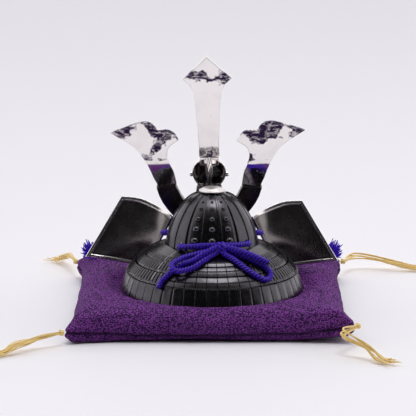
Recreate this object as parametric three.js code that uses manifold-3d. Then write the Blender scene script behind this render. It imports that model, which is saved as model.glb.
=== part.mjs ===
import * as THREE from 'three';
import { mergeVertices } from 'three/addons/utils/BufferGeometryUtils.js';
import Module from 'manifold-3d';

// Samurai helmet ornament resting on a square cushion.
// Millimetres, +Z up, the helmet's back faces -Y and its front +Y.
// Origin: centre of the cushion's flat underside.

// Driving dimensions
const gap = 0.3; // clearance between pieces that touch

const cushionSide = 110; // corner to corner along a side
const cushionHeight = 10.6; // top of the cushion away from its edges
const seamHeight = 5;
const seatHeight = 8.6; // dish that the helmet has pressed into the cushion
const sidePull = 1.2; // how far a side draws in between two corners
const helmetPlace = [1, -1.3]; // centre of the helmet on the cushion

const bowlRadius = 18.4;
const bowlRise = 20.8;
const bowlWall = 1.3;
const bowlSkirt = 1.2; // lower edge of the bowl below the neck guard's collar
const crownHoleRadius = 3.3;
const goreCount = 16;
const goreRidge = 0.4;
const goreGroove = 0.45;
const goreLineAngle = 1.6; // half width of a ridge or groove, degrees
const rivetedGores = [-1, 0, 1];
const crownRadius = 5.8;
const crownRise = 1.6;

const guardRadius = 36.8; // lower rim
const guardHeight = 18.6; // rim to the foot of the bowl
const guardWall = 0.9;
const guardHalfArc = 131; // degrees from the middle of the back
const plateAngle = 7.5; // degrees between two skirt plates
const plateGroove = 0.35;
const lameLap = 1; // how far a band reaches up under the one above

const visorReach = 10;
const visorDrop = 3.4;
const visorEndGap = 13; // degrees between the visor and each end of the neck guard
const visorHalfArc = 180 - guardHalfArc - visorEndGap; // degrees from the middle of the front
const visorWall = 1;

const wingReach = 51.7;
const wingTop = 31.1;
const wingDepth = 26;
const wingWall = 1.2;
const leftWingRise = 0.8; // bent up a little at its free end
const rightWingRise = -1;

const plateLean = 14.5; // horns, holder and crest lean back, degrees
const holderClear = 8.5; // from the bowl's foot to where their leaning plane meets the rim's level
const holderForward = bowlRadius + holderClear;
const holderWall = 3;
const hornTop = 67.8;
const holderTop = hornTop * 0.595; // just under the feet of the horns
const holderStem = 0.898; // top of the holder's middle, a share of its height
const holderReach = 21.4;
const hornWall = 1.2;
const hornSpread = 39.2;
const hornTang = 4;
const tangInset = 1.2; // how much narrower the tang is than the foot of the horn, each side
const leftHornSpread = 1.8; // degrees that the left horn leans further out
const rightHornRise = 1.8; // degrees that the right horn stands more upright
const bossWidth = 14;
const bossHeight = 13.1;
const bossDepth = 5.5;
const bossNeck = 3; // from its foot to the lobes
const bossWall = 1.3;
const spikeReach = 1.6;
const swordLength = 43.4;
const swordWidth = 19.4;
const swordWall = 1.2;
const swordTang = 2.5;
const swordLeft = 1.45; // degrees that the sword leans to the left
const frontOffset = -1.1; // the front plates stand a little left of the bowl's middle

const cordDiameter = 2;
const cordSides = 8;

// Routes of the cords in the helmet's own frame
const bandRoute = [
  [-11, -10.7, 19.8], [-12.8, -14.8, 20], [-8.7, -17.5, 20.8], [-3.3, -19, 21.5], [1.2, -19.4, 21.8],
  [5.5, -18.7, 21.7], [9.3, -17.1, 21.4], [12.6, -14.7, 21.1], [14.7, -12.5, 20.9], [11.2, -9.1, 20.7],
];
const leftLoopRoute = [
  [-0.2, -20.7, 19.6], [-3.6, -20.5, 19.2], [-7.1, -21.9, 18.5], [-10.6, -23.3, 17.9], [-13.5, -25.2, 17],
  [-15.7, -27.3, 15.8], [-15.6, -29.4, 14.5], [-13.5, -30, 13.9], [-10.3, -28.7, 14], [-6.8, -27.6, 15],
  [-4, -26.1, 16.6], [-1.1, -23.7, 18.1],
];
const leftTailRoute = [
  [-1.1, -23, 20.4], [-3.5, -24.1, 19.4], [-7.5, -25.1, 16.9], [-11.4, -25.2, 15.4], [-14.6, -25.8, 13.7],
  [-17.3, -27, 11.6], [-19.7, -28, 9.3], [-21.1, -29.1, 6.7],
];
const rightLoopRoute = [
  [6.9, -19.5, 19.1], [9.4, -20.1, 18.4], [11.8, -20.7, 17.8], [15.9, -21.3, 16.3], [20.2, -21.5, 14],
  [22.7, -22.5, 11.9], [22.7, -24.5, 10.2], [20.8, -26.7, 9.6], [17.6, -27.2, 11.2], [14.2, -26.7, 13.3],
  [10.7, -25.2, 15.7], [7.8, -23.4, 17.4], [5.8, -22.3, 18.3],
];
const rightTailRoute = [
  [6.9, -20.8, 21], [9.4, -21.4, 20.5], [14.2, -22.3, 19.1], [17.7, -22.6, 17.7], [22.1, -22.1, 15.4],
];
const chinRoute = [
  [-13.8, 1.2, 22.2], [-17.6, 2.6, 22.2], [-19.6, 5, 21.4], [-18.2, 8.4, 20.6], [-15.6, 12.2, 20], [-13.2, 14.8, 19],
  [-13.4, 16.2, 15.4], [-13.8, 19.6, 9], [-11.8, 26, 3.4], [-7.4, 31.2, 1.2], [-3, 32.6, 1.6],
];
const chinTailRoute = [
  [-2.8, 35.3, 2], [-9, 39.2, 3], [-18, 42.6, 3.4], [-28, 43.2, 3.3], [-38, 42.2, 3.3], [-45.5, 42, 2.7],
];
const bowKnotPlace = [3.4, -20.5, 21.3];
const chinKnotPlace = [0, 33.8, 2.1];

// Finishes
const blackMetal = { color: 0x191a1d, roughness: 0.28, metalness: 0.8 };
const silver = { color: 0xd8d8da, roughness: 0.08, metalness: 1 };
const violetCord = { color: 0x3a1aa8, roughness: 0.7, metalness: 0 };
const purpleCrepe = { color: 0x4a1a66, roughness: 0.9, metalness: 0 };
const yellowThread = { color: 0xe6c060, roughness: 0.6, metalness: 0 };

const wasm = await Module();
wasm.setup();

const radians = THREE.MathUtils.degToRad;
const helmet = new THREE.Group();
helmet.position.set(helmetPlace[0], helmetPlace[1], seatHeight + gap);
const leaning = new THREE.Group();
leaning.position.set(frontOffset, holderForward, 0);
leaning.rotation.x = radians(plateLean);
helmet.add(leaning);
const model = new THREE.Group();
model.add(helmet);

// Helpers
function addPiece(group, name, geometry, finish) {
  const piece = new THREE.Mesh(geometry, new THREE.MeshStandardMaterial(finish));
  piece.name = name;
  group.add(piece);
  return piece;
}

function bare(geometry) {
  const copy = geometry.clone();
  copy.deleteAttribute('normal');
  copy.deleteAttribute('uv');
  return mergeVertices(copy, 1e-4);
}

function solid(geometry) {
  const merged = bare(geometry);
  return new wasm.Manifold(new wasm.Mesh({
    numProp: 3,
    vertProperties: new Float32Array(merged.attributes.position.array),
    triVerts: new Uint32Array(merged.index.array),
  }));
}

function surface(body) {
  const mesh = body.getMesh();
  const geometry = new THREE.BufferGeometry();
  geometry.setAttribute('position', new THREE.BufferAttribute(new Float32Array(mesh.vertProperties), 3));
  geometry.setIndex(new THREE.BufferAttribute(new Uint32Array(mesh.triVerts), 1));
  geometry.computeVertexNormals();
  return geometry;
}

// Joins sections of equal point count into a closed skin; caps come from the flat outline
function skin(sections, { ring = false, cap = null } = {}) {
  const count = sections[0].length;
  const positions = sections.flat().flatMap((point) => [point.x, point.y, point.z]);
  const index = [];
  const last = ring ? sections.length : sections.length - 1;
  for (let i = 0; i < last; i += 1) {
    const a = i * count;
    const b = ((i + 1) % sections.length) * count;
    for (let j = 0; j < count; j += 1) {
      const k = (j + 1) % count;
      index.push(a + j, a + k, b + k, a + j, b + k, b + j);
    }
  }
  if (cap) {
    const end = (sections.length - 1) * count;
    for (const [i, j, k] of capTriangles(cap)) {
      index.push(i, k, j, end + i, end + j, end + k);
    }
  }
  const geometry = new THREE.BufferGeometry();
  geometry.setAttribute('position', new THREE.Float32BufferAttribute(positions, 3));
  geometry.setIndex(index);
  const shell = solid(geometry);
  return shell.volume() < 0 ? flipped(geometry) : geometry;
}

// Triangles over a flat outline, wound the way the outline runs
function capTriangles(outline) {
  const turn = Math.sign(THREE.ShapeUtils.area(outline));
  return THREE.ShapeUtils.triangulateShape(outline, []).map(([i, j, k]) => {
    const same = Math.sign(THREE.ShapeUtils.area([outline[i], outline[j], outline[k]])) === turn;
    return same ? [i, j, k] : [i, k, j];
  });
}

function flipped(geometry) {
  const index = Array.from(geometry.index.array);
  for (let i = 0; i < index.length; i += 3) {
    [index[i + 1], index[i + 2]] = [index[i + 2], index[i + 1]];
  }
  geometry.setIndex(index);
  return geometry;
}

function around(radius, angle, height) {
  return new THREE.Vector3(radius * Math.sin(radians(angle)), -radius * Math.cos(radians(angle)), height);
}

function outlineShape(points) {
  return new THREE.Shape(points.map(([x, y]) => new THREE.Vector2(x, y)));
}

// Flat plate standing in the leaning plane: outline in x and height, wall centred on the plane
function standingPlate(points, wall, forward = 0) {
  const plate = new THREE.ExtrudeGeometry(outlineShape(points), { depth: wall, bevelEnabled: false, steps: 1 });
  plate.translate(0, 0, -wall / 2);
  plate.rotateX(Math.PI / 2);
  plate.translate(0, forward, 0);
  return plate;
}

function cordTube(route, { clearance = 0, spacing = 2.4 } = {}) {
  const curve = new THREE.CatmullRomCurve3(route.map((point) => new THREE.Vector3(...point)));
  const section = new THREE.Shape();
  const diameter = cordDiameter + clearance * 2;
  for (let i = 0; i < cordSides; i += 1) {
    const angle = (i / cordSides) * Math.PI * 2;
    const place = [Math.cos(angle) * diameter / 2, Math.sin(angle) * diameter / 2];
    if (i === 0) section.moveTo(...place);
    else section.lineTo(...place);
  }
  const steps = Math.ceil(curve.getLength() / (cordDiameter * spacing));
  return new THREE.ExtrudeGeometry(section, { steps, extrudePath: curve, bevelEnabled: false });
}

function mirrored(route) {
  return route.map(([x, y, z]) => [-x, y, z]);
}

// Round lock of threads that tapers along its route
function lock(route, thick, thin, sides = 5, steps = 5) {
  const curve = new THREE.CatmullRomCurve3(route.map((point) => new THREE.Vector3(...point)));
  const frames = curve.computeFrenetFrames(steps, false);
  const sections = [];
  for (let i = 0; i <= steps; i += 1) {
    const place = curve.getPointAt(i / steps);
    const radius = THREE.MathUtils.lerp(thick, thin, i / steps);
    sections.push(Array.from({ length: sides }, (_, j) => {
      const angle = (j / sides) * Math.PI * 2;
      return place.clone()
        .addScaledVector(frames.normals[i], Math.cos(angle) * radius)
        .addScaledVector(frames.binormals[i], Math.sin(angle) * radius);
    }));
  }
  const cap = Array.from({ length: sides }, (_, j) => {
    const angle = (j / sides) * Math.PI * 2;
    return new THREE.Vector2(Math.cos(angle), Math.sin(angle));
  });
  return skin(sections, { cap });
}

function knob(place, size, sides = 8, rings = 5) {
  const ball = new THREE.SphereGeometry(1, sides, rings);
  ball.scale(...size);
  ball.translate(...place);
  return ball;
}

// Cushion
const cushionRings = [ // inset from the seam, height as a share of the cushion's height
  { inset: 2.5, high: 0 },
  { inset: 0.6, high: 0.2 },
  { inset: 0, high: seamHeight / cushionHeight },
  { inset: 1.2, high: 0.74 },
  { inset: 4, high: 0.88 },
  { inset: 8.5, high: 0.97 },
];
const dishRings = [ // clearance round the rim, height
  { around: 4.2, high: cushionHeight },
  { around: 1.2, high: seatHeight },
  { around: -5, high: seatHeight },
  { around: -14, high: seatHeight + 0.6 },
];

function cushionOutline(inset, column, columns) {
  const half = cushionSide / 2;
  const turn = (column / columns) * 4;
  const side = Math.floor(turn);
  const along = (turn - side) * 2 - 1; // -1 to 1 along one side
  const pull = sidePull * (1 - along ** 4);
  const corner = Math.abs(along) ** 6; // insets round the corner off
  const reach = half - inset * (1 + 0.25 * corner);
  const place = new THREE.Vector2(reach - pull, along * reach);
  return place.rotateAround(new THREE.Vector2(), (side * Math.PI) / 2);
}

function buildCushion() {
  const columns = 48;
  const sections = [];
  for (const { inset, high } of cushionRings) {
    sections.push(Array.from({ length: columns }, (_, i) => {
      const place = cushionOutline(inset, i, columns);
      return new THREE.Vector3(place.x, place.y, high * cushionHeight);
    }));
  }
  for (const { around: clear, high } of dishRings) {
    sections.push(Array.from({ length: columns }, (_, i) => {
      const bearing = cushionOutline(0, i, columns).angle();
      const reach = guardRadius + clear;
      return new THREE.Vector3(
        helmetPlace[0] + reach * Math.cos(bearing),
        helmetPlace[1] + reach * Math.sin(bearing),
        high,
      );
    }));
  }
  const count = columns;
  const positions = sections.flat().flatMap((point) => [point.x, point.y, point.z]);
  const index = [];
  for (let i = 0; i < sections.length - 1; i += 1) {
    for (let j = 0; j < count; j += 1) {
      const k = (j + 1) % count;
      index.push(i * count + j, i * count + k, (i + 1) * count + k);
      index.push(i * count + j, (i + 1) * count + k, (i + 1) * count + j);
    }
  }
  const closeEnd = (section, offset, up) => {
    const flat = section.map((point) => new THREE.Vector2(point.x, point.y));
    for (const [a, b, c] of capTriangles(flat)) {
      if (up) index.push(offset + a, offset + b, offset + c);
      else index.push(offset + a, offset + c, offset + b);
    }
  };
  closeEnd(sections[0], 0, false);
  closeEnd(sections.at(-1), (sections.length - 1) * count, true);
  const geometry = new THREE.BufferGeometry();
  geometry.setAttribute('position', new THREE.Float32BufferAttribute(positions, 3));
  geometry.setIndex(index);
  return geometry;
}
addPiece(model, 'cushion', buildCushion(), purpleCrepe);

// Corner tassels: each a knot at the corner and locks of thread that lie on the surface
const threadThickness = 0.9;
const tassels = [ // signs of the corner, then shares of half the cushion's side out from its middle
  { name: 'corner_tassel_1', corner: [-1, -1], middle: [1.127, 1.091], ends: [[1.509, 1.273], [1.527, 1.364], [1.455, 1.436]] },
  { name: 'corner_tassel_2', corner: [1, -1], middle: [0.909, 1.255], ends: [[1.345, 1.564], [1.382, 1.655], [1.2, 1.691]] },
  { name: 'corner_tassel_3', corner: [1, 1], middle: [1.145, 1.255], ends: [[1.655, 1.127], [1.709, 1.218], [1.6, 1.327]] },
  { name: 'corner_tassel_4', corner: [-1, 1], middle: [1.091, 1.291], ends: [[1.273, 1.636], [1.345, 1.564], [1.2, 1.691]] },
];

function buildTassel({ corner, middle, ends }) {
  const knotRadius = threadThickness * 2;
  const half = cushionSide / 2;
  const knot = [corner[0] * (half + knotRadius - 0.2), corner[1] * (half + knotRadius - 0.2), seamHeight];
  const lie = threadThickness + 0.25;
  const placed = (shares) => shares.map((share, i) => share * corner[i] * half);
  const [middleX, middleY] = placed(middle);
  let tassel = solid(knob(knot, [knotRadius, knotRadius, knotRadius], 8, 5));
  for (const [x, y] of ends.map(placed)) {
    const bend = [(middleX * 6 + x) / 7, (middleY * 6 + y) / 7, lie];
    const route = [knot, [(knot[0] + bend[0]) / 2, (knot[1] + bend[1]) / 2, seamHeight * 0.62], bend, [x, y, lie]];
    tassel = tassel.add(solid(lock(route, threadThickness, threadThickness * 0.7)));
  }
  return surface(tassel);
}
for (const row of tassels) addPiece(model, row.name, buildTassel(row), yellowThread);

// Bowl
const bowlProfile = [ // shares of the bowl's radius and rise, from its foot up
  { wide: 1, high: 0 },
  { wide: 0.957, high: 0.216 },
  { wide: 0.826, high: 0.51 },
  { wide: 0.598, high: 0.808 },
  { wide: 0.397, high: 0.947 },
];

function bowlRadiusAt(height) {
  const high = (height - guardHeight) / bowlRise;
  for (let i = 1; i < bowlProfile.length; i += 1) {
    const low = bowlProfile[i - 1];
    const top = bowlProfile[i];
    if (high <= top.high) {
      const share = Math.max(0, (high - low.high) / (top.high - low.high));
      return bowlRadius * THREE.MathUtils.lerp(low.wide, top.wide, share);
    }
  }
  return bowlRadius * bowlProfile.at(-1).wide;
}

function buildBowl() {
  const goreAngle = 360 / goreCount;
  const columns = [];
  for (let i = 0; i < goreCount; i += 1) {
    const line = (i + 0.5) * goreAngle;
    const fromBack = Math.min(i, goreCount - 1 - i);
    const ridge = fromBack % 2 === 0;
    columns.push({ angle: line - goreLineAngle, relief: 0 });
    columns.push({ angle: line, relief: ridge ? goreRidge : -goreGroove });
    columns.push({ angle: line + goreLineAngle, relief: 0 });
    columns.push({ angle: line + goreAngle / 2, relief: 0 });
  }
  const crown = guardHeight + bowlRise;
  const sections = columns.map(({ angle, relief }) => {
    const section = [around(bowlRadius, angle, guardHeight - bowlSkirt)];
    for (const { wide, high } of bowlProfile) {
      const lift = high === 0 ? 0 : relief * Math.min(1, wide + 0.2);
      section.push(around(bowlRadius * wide + lift, angle, guardHeight + bowlRise * high));
    }
    section.push(around(crownHoleRadius, angle, crown));
    section.push(around(crownHoleRadius, angle, crown - bowlWall));
    section.push(around(bowlRadius * 0.53 - bowlWall * 0.3, angle, guardHeight + bowlRise * 0.8 - bowlWall));
    section.push(around(bowlRadius * 0.826 - bowlWall, angle, guardHeight + bowlRise * 0.5));
    section.push(around(bowlRadius - bowlWall - 0.2, angle, guardHeight - bowlSkirt));
    return section;
  });
  let bowl = solid(skin(sections, { ring: true }));
  const rivets = [ // height as a share of the bowl's rise, radius
    { high: 0.2, radius: 1.7 },
    { high: 0.41, radius: 1.5 },
    { high: 0.59, radius: 1.2 },
    { high: 0.77, radius: 0.9 },
    { high: 0.88, radius: 0.6 },
  ];
  for (const side of [0, 180]) {
    for (const gore of rivetedGores) {
      for (const { high, radius } of rivets) {
        const height = guardHeight + bowlRise * high;
        const place = around(bowlRadiusAt(height) - radius * 0.15, side + gore * goreAngle, height);
        bowl = bowl.add(solid(knob(place.toArray(), [radius, radius, radius], 6, 4)));
      }
    }
  }
  for (const route of [bandRoute, chinRoute, mirrored(chinRoute)]) {
    bowl = bowl.subtract(solid(cordTube(route, { clearance: gap })));
  }
  return surface(bowl);
}
addPiece(helmet, 'bowl', buildBowl(), blackMetal);

// Crown plate: a low silver dome with a pin in the crown hole
function buildCrownPlate() {
  const seat = guardHeight + bowlRise + gap;
  const pin = crownHoleRadius - gap;
  const profile = [
    [0, seat - bowlWall],
    [pin, seat - bowlWall],
    [pin, seat],
    [crownRadius, seat],
    [crownRadius, seat + crownRise * 0.25],
    [crownRadius * 0.8, seat + crownRise * 0.7],
    [crownRadius * 0.45, seat + crownRise * 0.95],
    [0, seat + crownRise],
  ];
  const plate = new THREE.LatheGeometry(profile.map(([x, y]) => new THREE.Vector2(x, y)), 20);
  plate.rotateX(Math.PI / 2);
  return plate;
}
addPiece(helmet, 'crown_plate', buildCrownPlate(), silver);

// Neck guard: bands that lap under each other like shingles
const guardSteps = [ // outer edge of each band: shares of the way out to the rim and of the height
  { wide: 0.261, high: 0.892 },
  { wide: 0.429, high: 0.796 },
  { wide: 0.636, high: 0.624 },
  { wide: 0.853, high: 0.398 },
  { wide: 1, high: 0 },
];

function guardPoint({ wide, high }) {
  const start = bowlRadius + gap;
  return new THREE.Vector2(start + (guardRadius - start) * wide, guardHeight * high);
}

function offsetLine(from, to, distance) {
  const along = to.clone().sub(from).normalize();
  const inward = new THREE.Vector2(along.y, -along.x);
  return [from.clone().addScaledVector(inward, distance), to.clone().addScaledVector(inward, distance)];
}

// A band's section; with the band above given, its top reaches up under that band's foot
function bandProfile(from, to, above = null) {
  let top = from;
  if (above) {
    const [, under] = offsetLine(above, from, guardWall + gap * 2);
    const upward = above.clone().sub(from).normalize();
    top = under.addScaledVector(upward, lameLap);
  }
  const [innerTop, innerFoot] = offsetLine(top, to, guardWall);
  return [top, to, innerFoot, innerTop];
}

function sweptBand(profile, halfArc, columns, turn = 0) {
  const sections = columns.map(({ angle, relief }) => profile.map((point, i) => {
    const radius = point.x + (i === 0 || i === profile.length - 1 ? 0 : relief);
    return around(radius, angle + turn, point.y);
  }));
  return skin(sections, { cap: profile });
}

function evenColumns(halfArc, step) {
  const count = Math.round((halfArc * 2) / step);
  return Array.from({ length: count + 1 }, (_, i) => ({ angle: -halfArc + (i * halfArc * 2) / count, relief: 0 }));
}

function plateColumns(halfArc) {
  const count = Math.round((halfArc * 2) / plateAngle);
  const step = (halfArc * 2) / count;
  const columns = [{ angle: -halfArc, relief: 0 }];
  for (let i = 1; i < count; i += 1) {
    const line = -halfArc + i * step;
    columns.push({ angle: line - step * 0.1, relief: 0 });
    columns.push({ angle: line, relief: -plateGroove });
    columns.push({ angle: line + step * 0.1, relief: 0 });
  }
  columns.push({ angle: halfArc, relief: 0 });
  return columns;
}

function buildGuard() {
  const edges = guardSteps.map(guardPoint);
  const collarTop = new THREE.Vector2(bowlRadius + gap, guardHeight);
  const columns = evenColumns(guardHalfArc, plateAngle);
  const first = bandProfile(edges[0], edges[1]);
  const collar = [
    collarTop,
    edges[0],
    first[1],
    first[2],
    new THREE.Vector2(edges[0].x, edges[0].y - guardWall * 1.1),
    new THREE.Vector2(collarTop.x, collarTop.y - guardWall * 1.1),
  ];
  addPiece(helmet, 'neck_guard_lame_1', sweptBand(collar, guardHalfArc, columns), blackMetal);
  for (const [i, name] of [[1, 'neck_guard_lame_2'], [2, 'neck_guard_lame_3']]) {
    const profile = bandProfile(edges[i], edges[i + 1], edges[i - 1]);
    addPiece(helmet, name, sweptBand(profile, guardHalfArc, columns), blackMetal);
  }
  const skirt = bandProfile(edges[3], edges[4], edges[2]);
  skirt[2].y = 0;
  addPiece(helmet, 'neck_guard_skirt', sweptBand(skirt, guardHalfArc, plateColumns(guardHalfArc)), blackMetal);
}
buildGuard();

// Visor: a plain short peak over the front, longest in the middle
function visorTopAt(radius) {
  return guardHeight - ((radius - bowlRadius - gap) * visorDrop) / visorReach;
}

function buildVisor() {
  const inner = bowlRadius + gap;
  const sections = evenColumns(visorHalfArc, 8).map(({ angle }) => {
    const reach = visorReach * (1 - 0.7 * (angle / visorHalfArc) ** 2);
    const outer = inner + reach;
    return [
      around(inner, 180 + angle, visorTopAt(inner)),
      around(outer, 180 + angle, visorTopAt(outer)),
      around(outer, 180 + angle, visorTopAt(outer) - visorWall),
      around(inner, 180 + angle, visorTopAt(inner) - visorWall),
    ];
  });
  const cap = [[0, 1], [1, 1], [1, 0], [0, 0]].map(([x, y]) => new THREE.Vector2(x, y));
  return skin(sections, { cap });
}
addPiece(helmet, 'visor', buildVisor(), blackMetal);

// Wings: plates folded back from the ends of the neck guard
const wingRows = [ // shares of reach, depth and height of the upper and lower edge, outwards from the fold
  { top: { out: 0.335, deep: 0.71, high: 0.842 }, foot: { out: 0.56, deep: 1.035, high: 0.08 } },
  { top: { out: 0.39, deep: 0.83, high: 0.875 }, foot: { out: 0.62, deep: 1.02, high: 0.12 } },
  { top: { out: 0.463, deep: 0.905, high: 0.926 }, foot: { out: 0.71, deep: 0.965, high: 0.15 } },
  { top: { out: 0.572, deep: 0.97, high: 0.984 }, foot: { out: 0.84, deep: 0.88, high: 0.19 } },
  { top: { out: 0.714, deep: 1, high: 1 }, foot: { out: 1, deep: 0.77, high: 0.235 } },
];

function buildWing(side) {
  const endLine = new THREE.Vector2(Math.sin(radians(guardHalfArc)), -Math.cos(radians(guardHalfArc)));
  const ahead = new THREE.Vector2(-endLine.y, endLine.x).multiplyScalar(wingWall / 2 + gap);
  const fold = (radius, height) => new THREE.Vector3(
    endLine.x * radius + ahead.x,
    endLine.y * radius + ahead.y,
    height,
  );
  const tops = [fold(bowlRadius * 1.2, wingTop * 0.825)];
  const feet = [fold(guardRadius, guardHeight * 0.1)];
  for (const { top, foot } of wingRows) {
    tops.push(new THREE.Vector3(top.out * wingReach, top.deep * wingDepth, top.high * wingTop));
    feet.push(new THREE.Vector3(foot.out * wingReach, foot.deep * wingDepth, foot.high * wingTop));
  }
  const rise = side < 0 ? leftWingRise : rightWingRise;
  for (let i = 1; i < tops.length; i += 1) {
    tops[i].z += (rise * i) / (tops.length - 1);
    feet[i].z += (rise * i) / (tops.length - 1);
  }
  const levels = 4;
  const rows = tops.map((top, i) => Array.from({ length: levels + 1 }, (_, j) => top.clone().lerp(feet[i], j / levels)));
  const sections = rows.map((row, i) => {
    const before = rows[Math.max(0, i - 1)];
    const after = rows[Math.min(rows.length - 1, i + 1)];
    const walls = row.map((place, j) => {
      const outward = after[j].clone().sub(before[j]);
      const down = row[Math.min(levels, j + 1)].clone().sub(row[Math.max(0, j - 1)]);
      return outward.cross(down).normalize().multiplyScalar(wingWall / 2);
    });
    const front = row.map((place, j) => place.clone().add(walls[j]));
    const back = row.map((place, j) => place.clone().sub(walls[j])).reverse();
    return [...front, ...back].map((place) => new THREE.Vector3(place.x * side, place.y, place.z));
  });
  const cap = [];
  for (let j = 0; j <= levels; j += 1) cap.push(new THREE.Vector2(0, j));
  for (let j = levels; j >= 0; j -= 1) cap.push(new THREE.Vector2(1, j));
  return skin(sections, { cap });
}
addPiece(helmet, 'wing_left', buildWing(-1), silver);
addPiece(helmet, 'wing_right', buildWing(1), silver);

// Horn holder, horns and crest stand in one leaning plane: x across, height up the plane
const hornOutline = [ // shares of the horn's spread and top, from the socket up the outer edge
  [0.54, 0.6], [0.574, 0.643], [0.612, 0.703], [0.65, 0.75], [0.694, 0.794], [0.755, 0.841],
  [0.829, 0.876], [0.913, 0.907], [1, 0.939],
  [0.916, 0.957], [0.832, 0.974], [0.75, 0.99], [0.679, 1], [0.617, 1], [0.569, 0.99],
  [0.533, 0.969], [0.51, 0.946], [0.474, 0.945], [0.423, 0.948], [0.372, 0.939], [0.329, 0.916],
  [0.298, 0.882], [0.355, 0.861], [0.398, 0.84], [0.418, 0.812], [0.421, 0.774], [0.395, 0.727],
  [0.36, 0.678], [0.335, 0.6],
];
const holderOutline = [ // shares of the holder's reach and top, right half from above the foot outwards
  [0.4, 0.53], [0.56, 0.592], [0.71, 0.672], [0.8, 0.736], [0.885, 0.806], [0.95, 0.882], [1, 0.972],
  [0.64, 1], [0.59, 0.945], [0.53, 0.875], [0.45, 0.81], [0.34, 0.762], [0.22, 0.75],
];

function hornPoints(side) {
  return hornOutline.map(([x, y]) => [side * x * hornSpread, y * hornTop]);
}

function tangPoints(side, grow) {
  const foot = hornOutline[0];
  const inner = hornOutline.at(-1);
  const outside = foot[0] * hornSpread - tangInset + grow;
  const inside = inner[0] * hornSpread + tangInset - grow;
  const top = foot[1] * hornTop;
  return [
    [side * inside, top - hornTang - grow],
    [side * outside, top - hornTang - grow],
    [side * outside, top + (grow ? hornTang : 0.5)],
    [side * inside, top + (grow ? hornTang : 0.5)],
  ];
}

function turnPlate(geometry, footX, footHeight, degrees) {
  geometry.translate(-footX, 0, -footHeight);
  geometry.rotateY(radians(degrees));
  geometry.translate(footX, 0, footHeight);
  return geometry;
}

function turnHorn(geometry, side) {
  const degrees = -(side < 0 ? leftHornSpread : rightHornRise);
  return turnPlate(geometry, side * hornSpread * 0.455, hornTop * 0.6, degrees);
}

function buildHorn(side) {
  const blade = turnHorn(standingPlate(hornPoints(side), hornWall), side);
  const tang = turnHorn(standingPlate(tangPoints(side, 0), hornWall), side);
  return surface(solid(upright(blade)).add(solid(upright(tang))));
}

// An outline drawn clockwise comes out inside out, so its faces are turned round
function upright(geometry) {
  const merged = bare(geometry);
  return solid(merged).volume() < 0 ? flipped(merged) : merged;
}

function buildHolder() {
  const lean = radians(plateLean);
  const footForward = holderForward - holderWall / 2 - (holderTop / 2) * Math.sin(lean);
  const foot = (visorTopAt(footForward) + gap + (holderWall / 2) * Math.sin(lean)) / Math.cos(lean);
  const right = holderOutline.map(([x, y]) => [x * holderReach, y * holderTop]);
  right.unshift([holderReach * 0.24, foot]);
  const left = right.map(([x, y]) => [-x, y]).reverse();
  const stemTop = holderTop * holderStem;
  const stem = right.at(-1)[0];
  const outline = [...right, [stem, stemTop], [-stem, stemTop], ...left];
  let holder = solid(upright(standingPlate(outline, holderWall)));
  for (const side of [-1, 1]) {
    const socket = turnHorn(standingPlate(tangPoints(side, gap), hornWall + gap * 2), side);
    holder = holder.subtract(solid(upright(socket)));
    const blade = turnHorn(standingPlate(hornPoints(side), hornWall + gap * 2), side);
    holder = holder.subtract(solid(upright(blade)));
  }
  return surface(holder);
}
addPiece(leaning, 'horn_holder', buildHolder(), silver);
addPiece(leaning, 'horn_left', buildHorn(-1), silver);
addPiece(leaning, 'horn_right', buildHorn(1), silver);

// Crest boss: a hollow two-lobed shell, open to the back, with spikes at its sides and a foot
const bossFoot = holderTop * holderStem + gap;
const bossMiddle = bossFoot + bossNeck + bossHeight / 2;

function buildBoss() {
  const half = bossWidth / 2;
  const tall = bossHeight / 2;
  let boss = solid(knob([0, 0, bossMiddle], [half, bossDepth, tall], 16, 10));
  for (const side of [-1, 1]) {
    const spike = outlineShape([
      [side * half * 0.6, bossMiddle + tall * 0.25],
      [side * (half + spikeReach), bossMiddle - tall * 0.12],
      [side * half * 0.5, bossMiddle - tall * 0.5],
    ]);
    const blade = new THREE.ExtrudeGeometry(spike, { depth: bossWall, bevelEnabled: false });
    blade.rotateX(Math.PI / 2);
    blade.translate(0, bossWall, 0);
    boss = boss.add(solid(upright(blade)));
  }
  boss = boss.intersect(solid(slab(bossWidth * 2, [-bossWall, bossDepth + 1], [bossFoot, bossFoot + bossHeight * 2])));
  const foot = slab(bossWidth * 0.8, [-bossWall, bossWall], [bossFoot, bossMiddle - tall * 0.5]);
  boss = boss.add(solid(foot));
  const lug = slab(swordWidth * 0.42, [-bossWall, bossWall], [bossMiddle + tall * 0.4, bossMiddle + tall]);
  boss = boss.add(solid(lug));
  const wall = bossWall;
  for (const side of [-1, 1]) {
    const place = [side * (half * 0.5), -bossWall, bossMiddle - tall * 0.12];
    boss = boss.subtract(solid(knob(place, [half * 0.5 - wall * 0.6, bossDepth - wall * 0.5, tall * 0.52], 10, 6)));
  }
  const slot = slab(swordWidth * 0.42 - 2 * bossWall + gap * 2, [-swordWall / 2 - gap, swordWall / 2 + gap],
    [bossMiddle + tall - swordTang - gap, bossMiddle + tall + 1]);
  return surface(boss.subtract(solid(slot)));
}

function slab(width, [back, front], [low, top]) {
  const block = new THREE.BoxGeometry(width, front - back, top - low);
  block.translate(0, (front + back) / 2, (top + low) / 2);
  return block;
}
addPiece(leaning, 'crest_boss', buildBoss(), silver);

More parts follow.
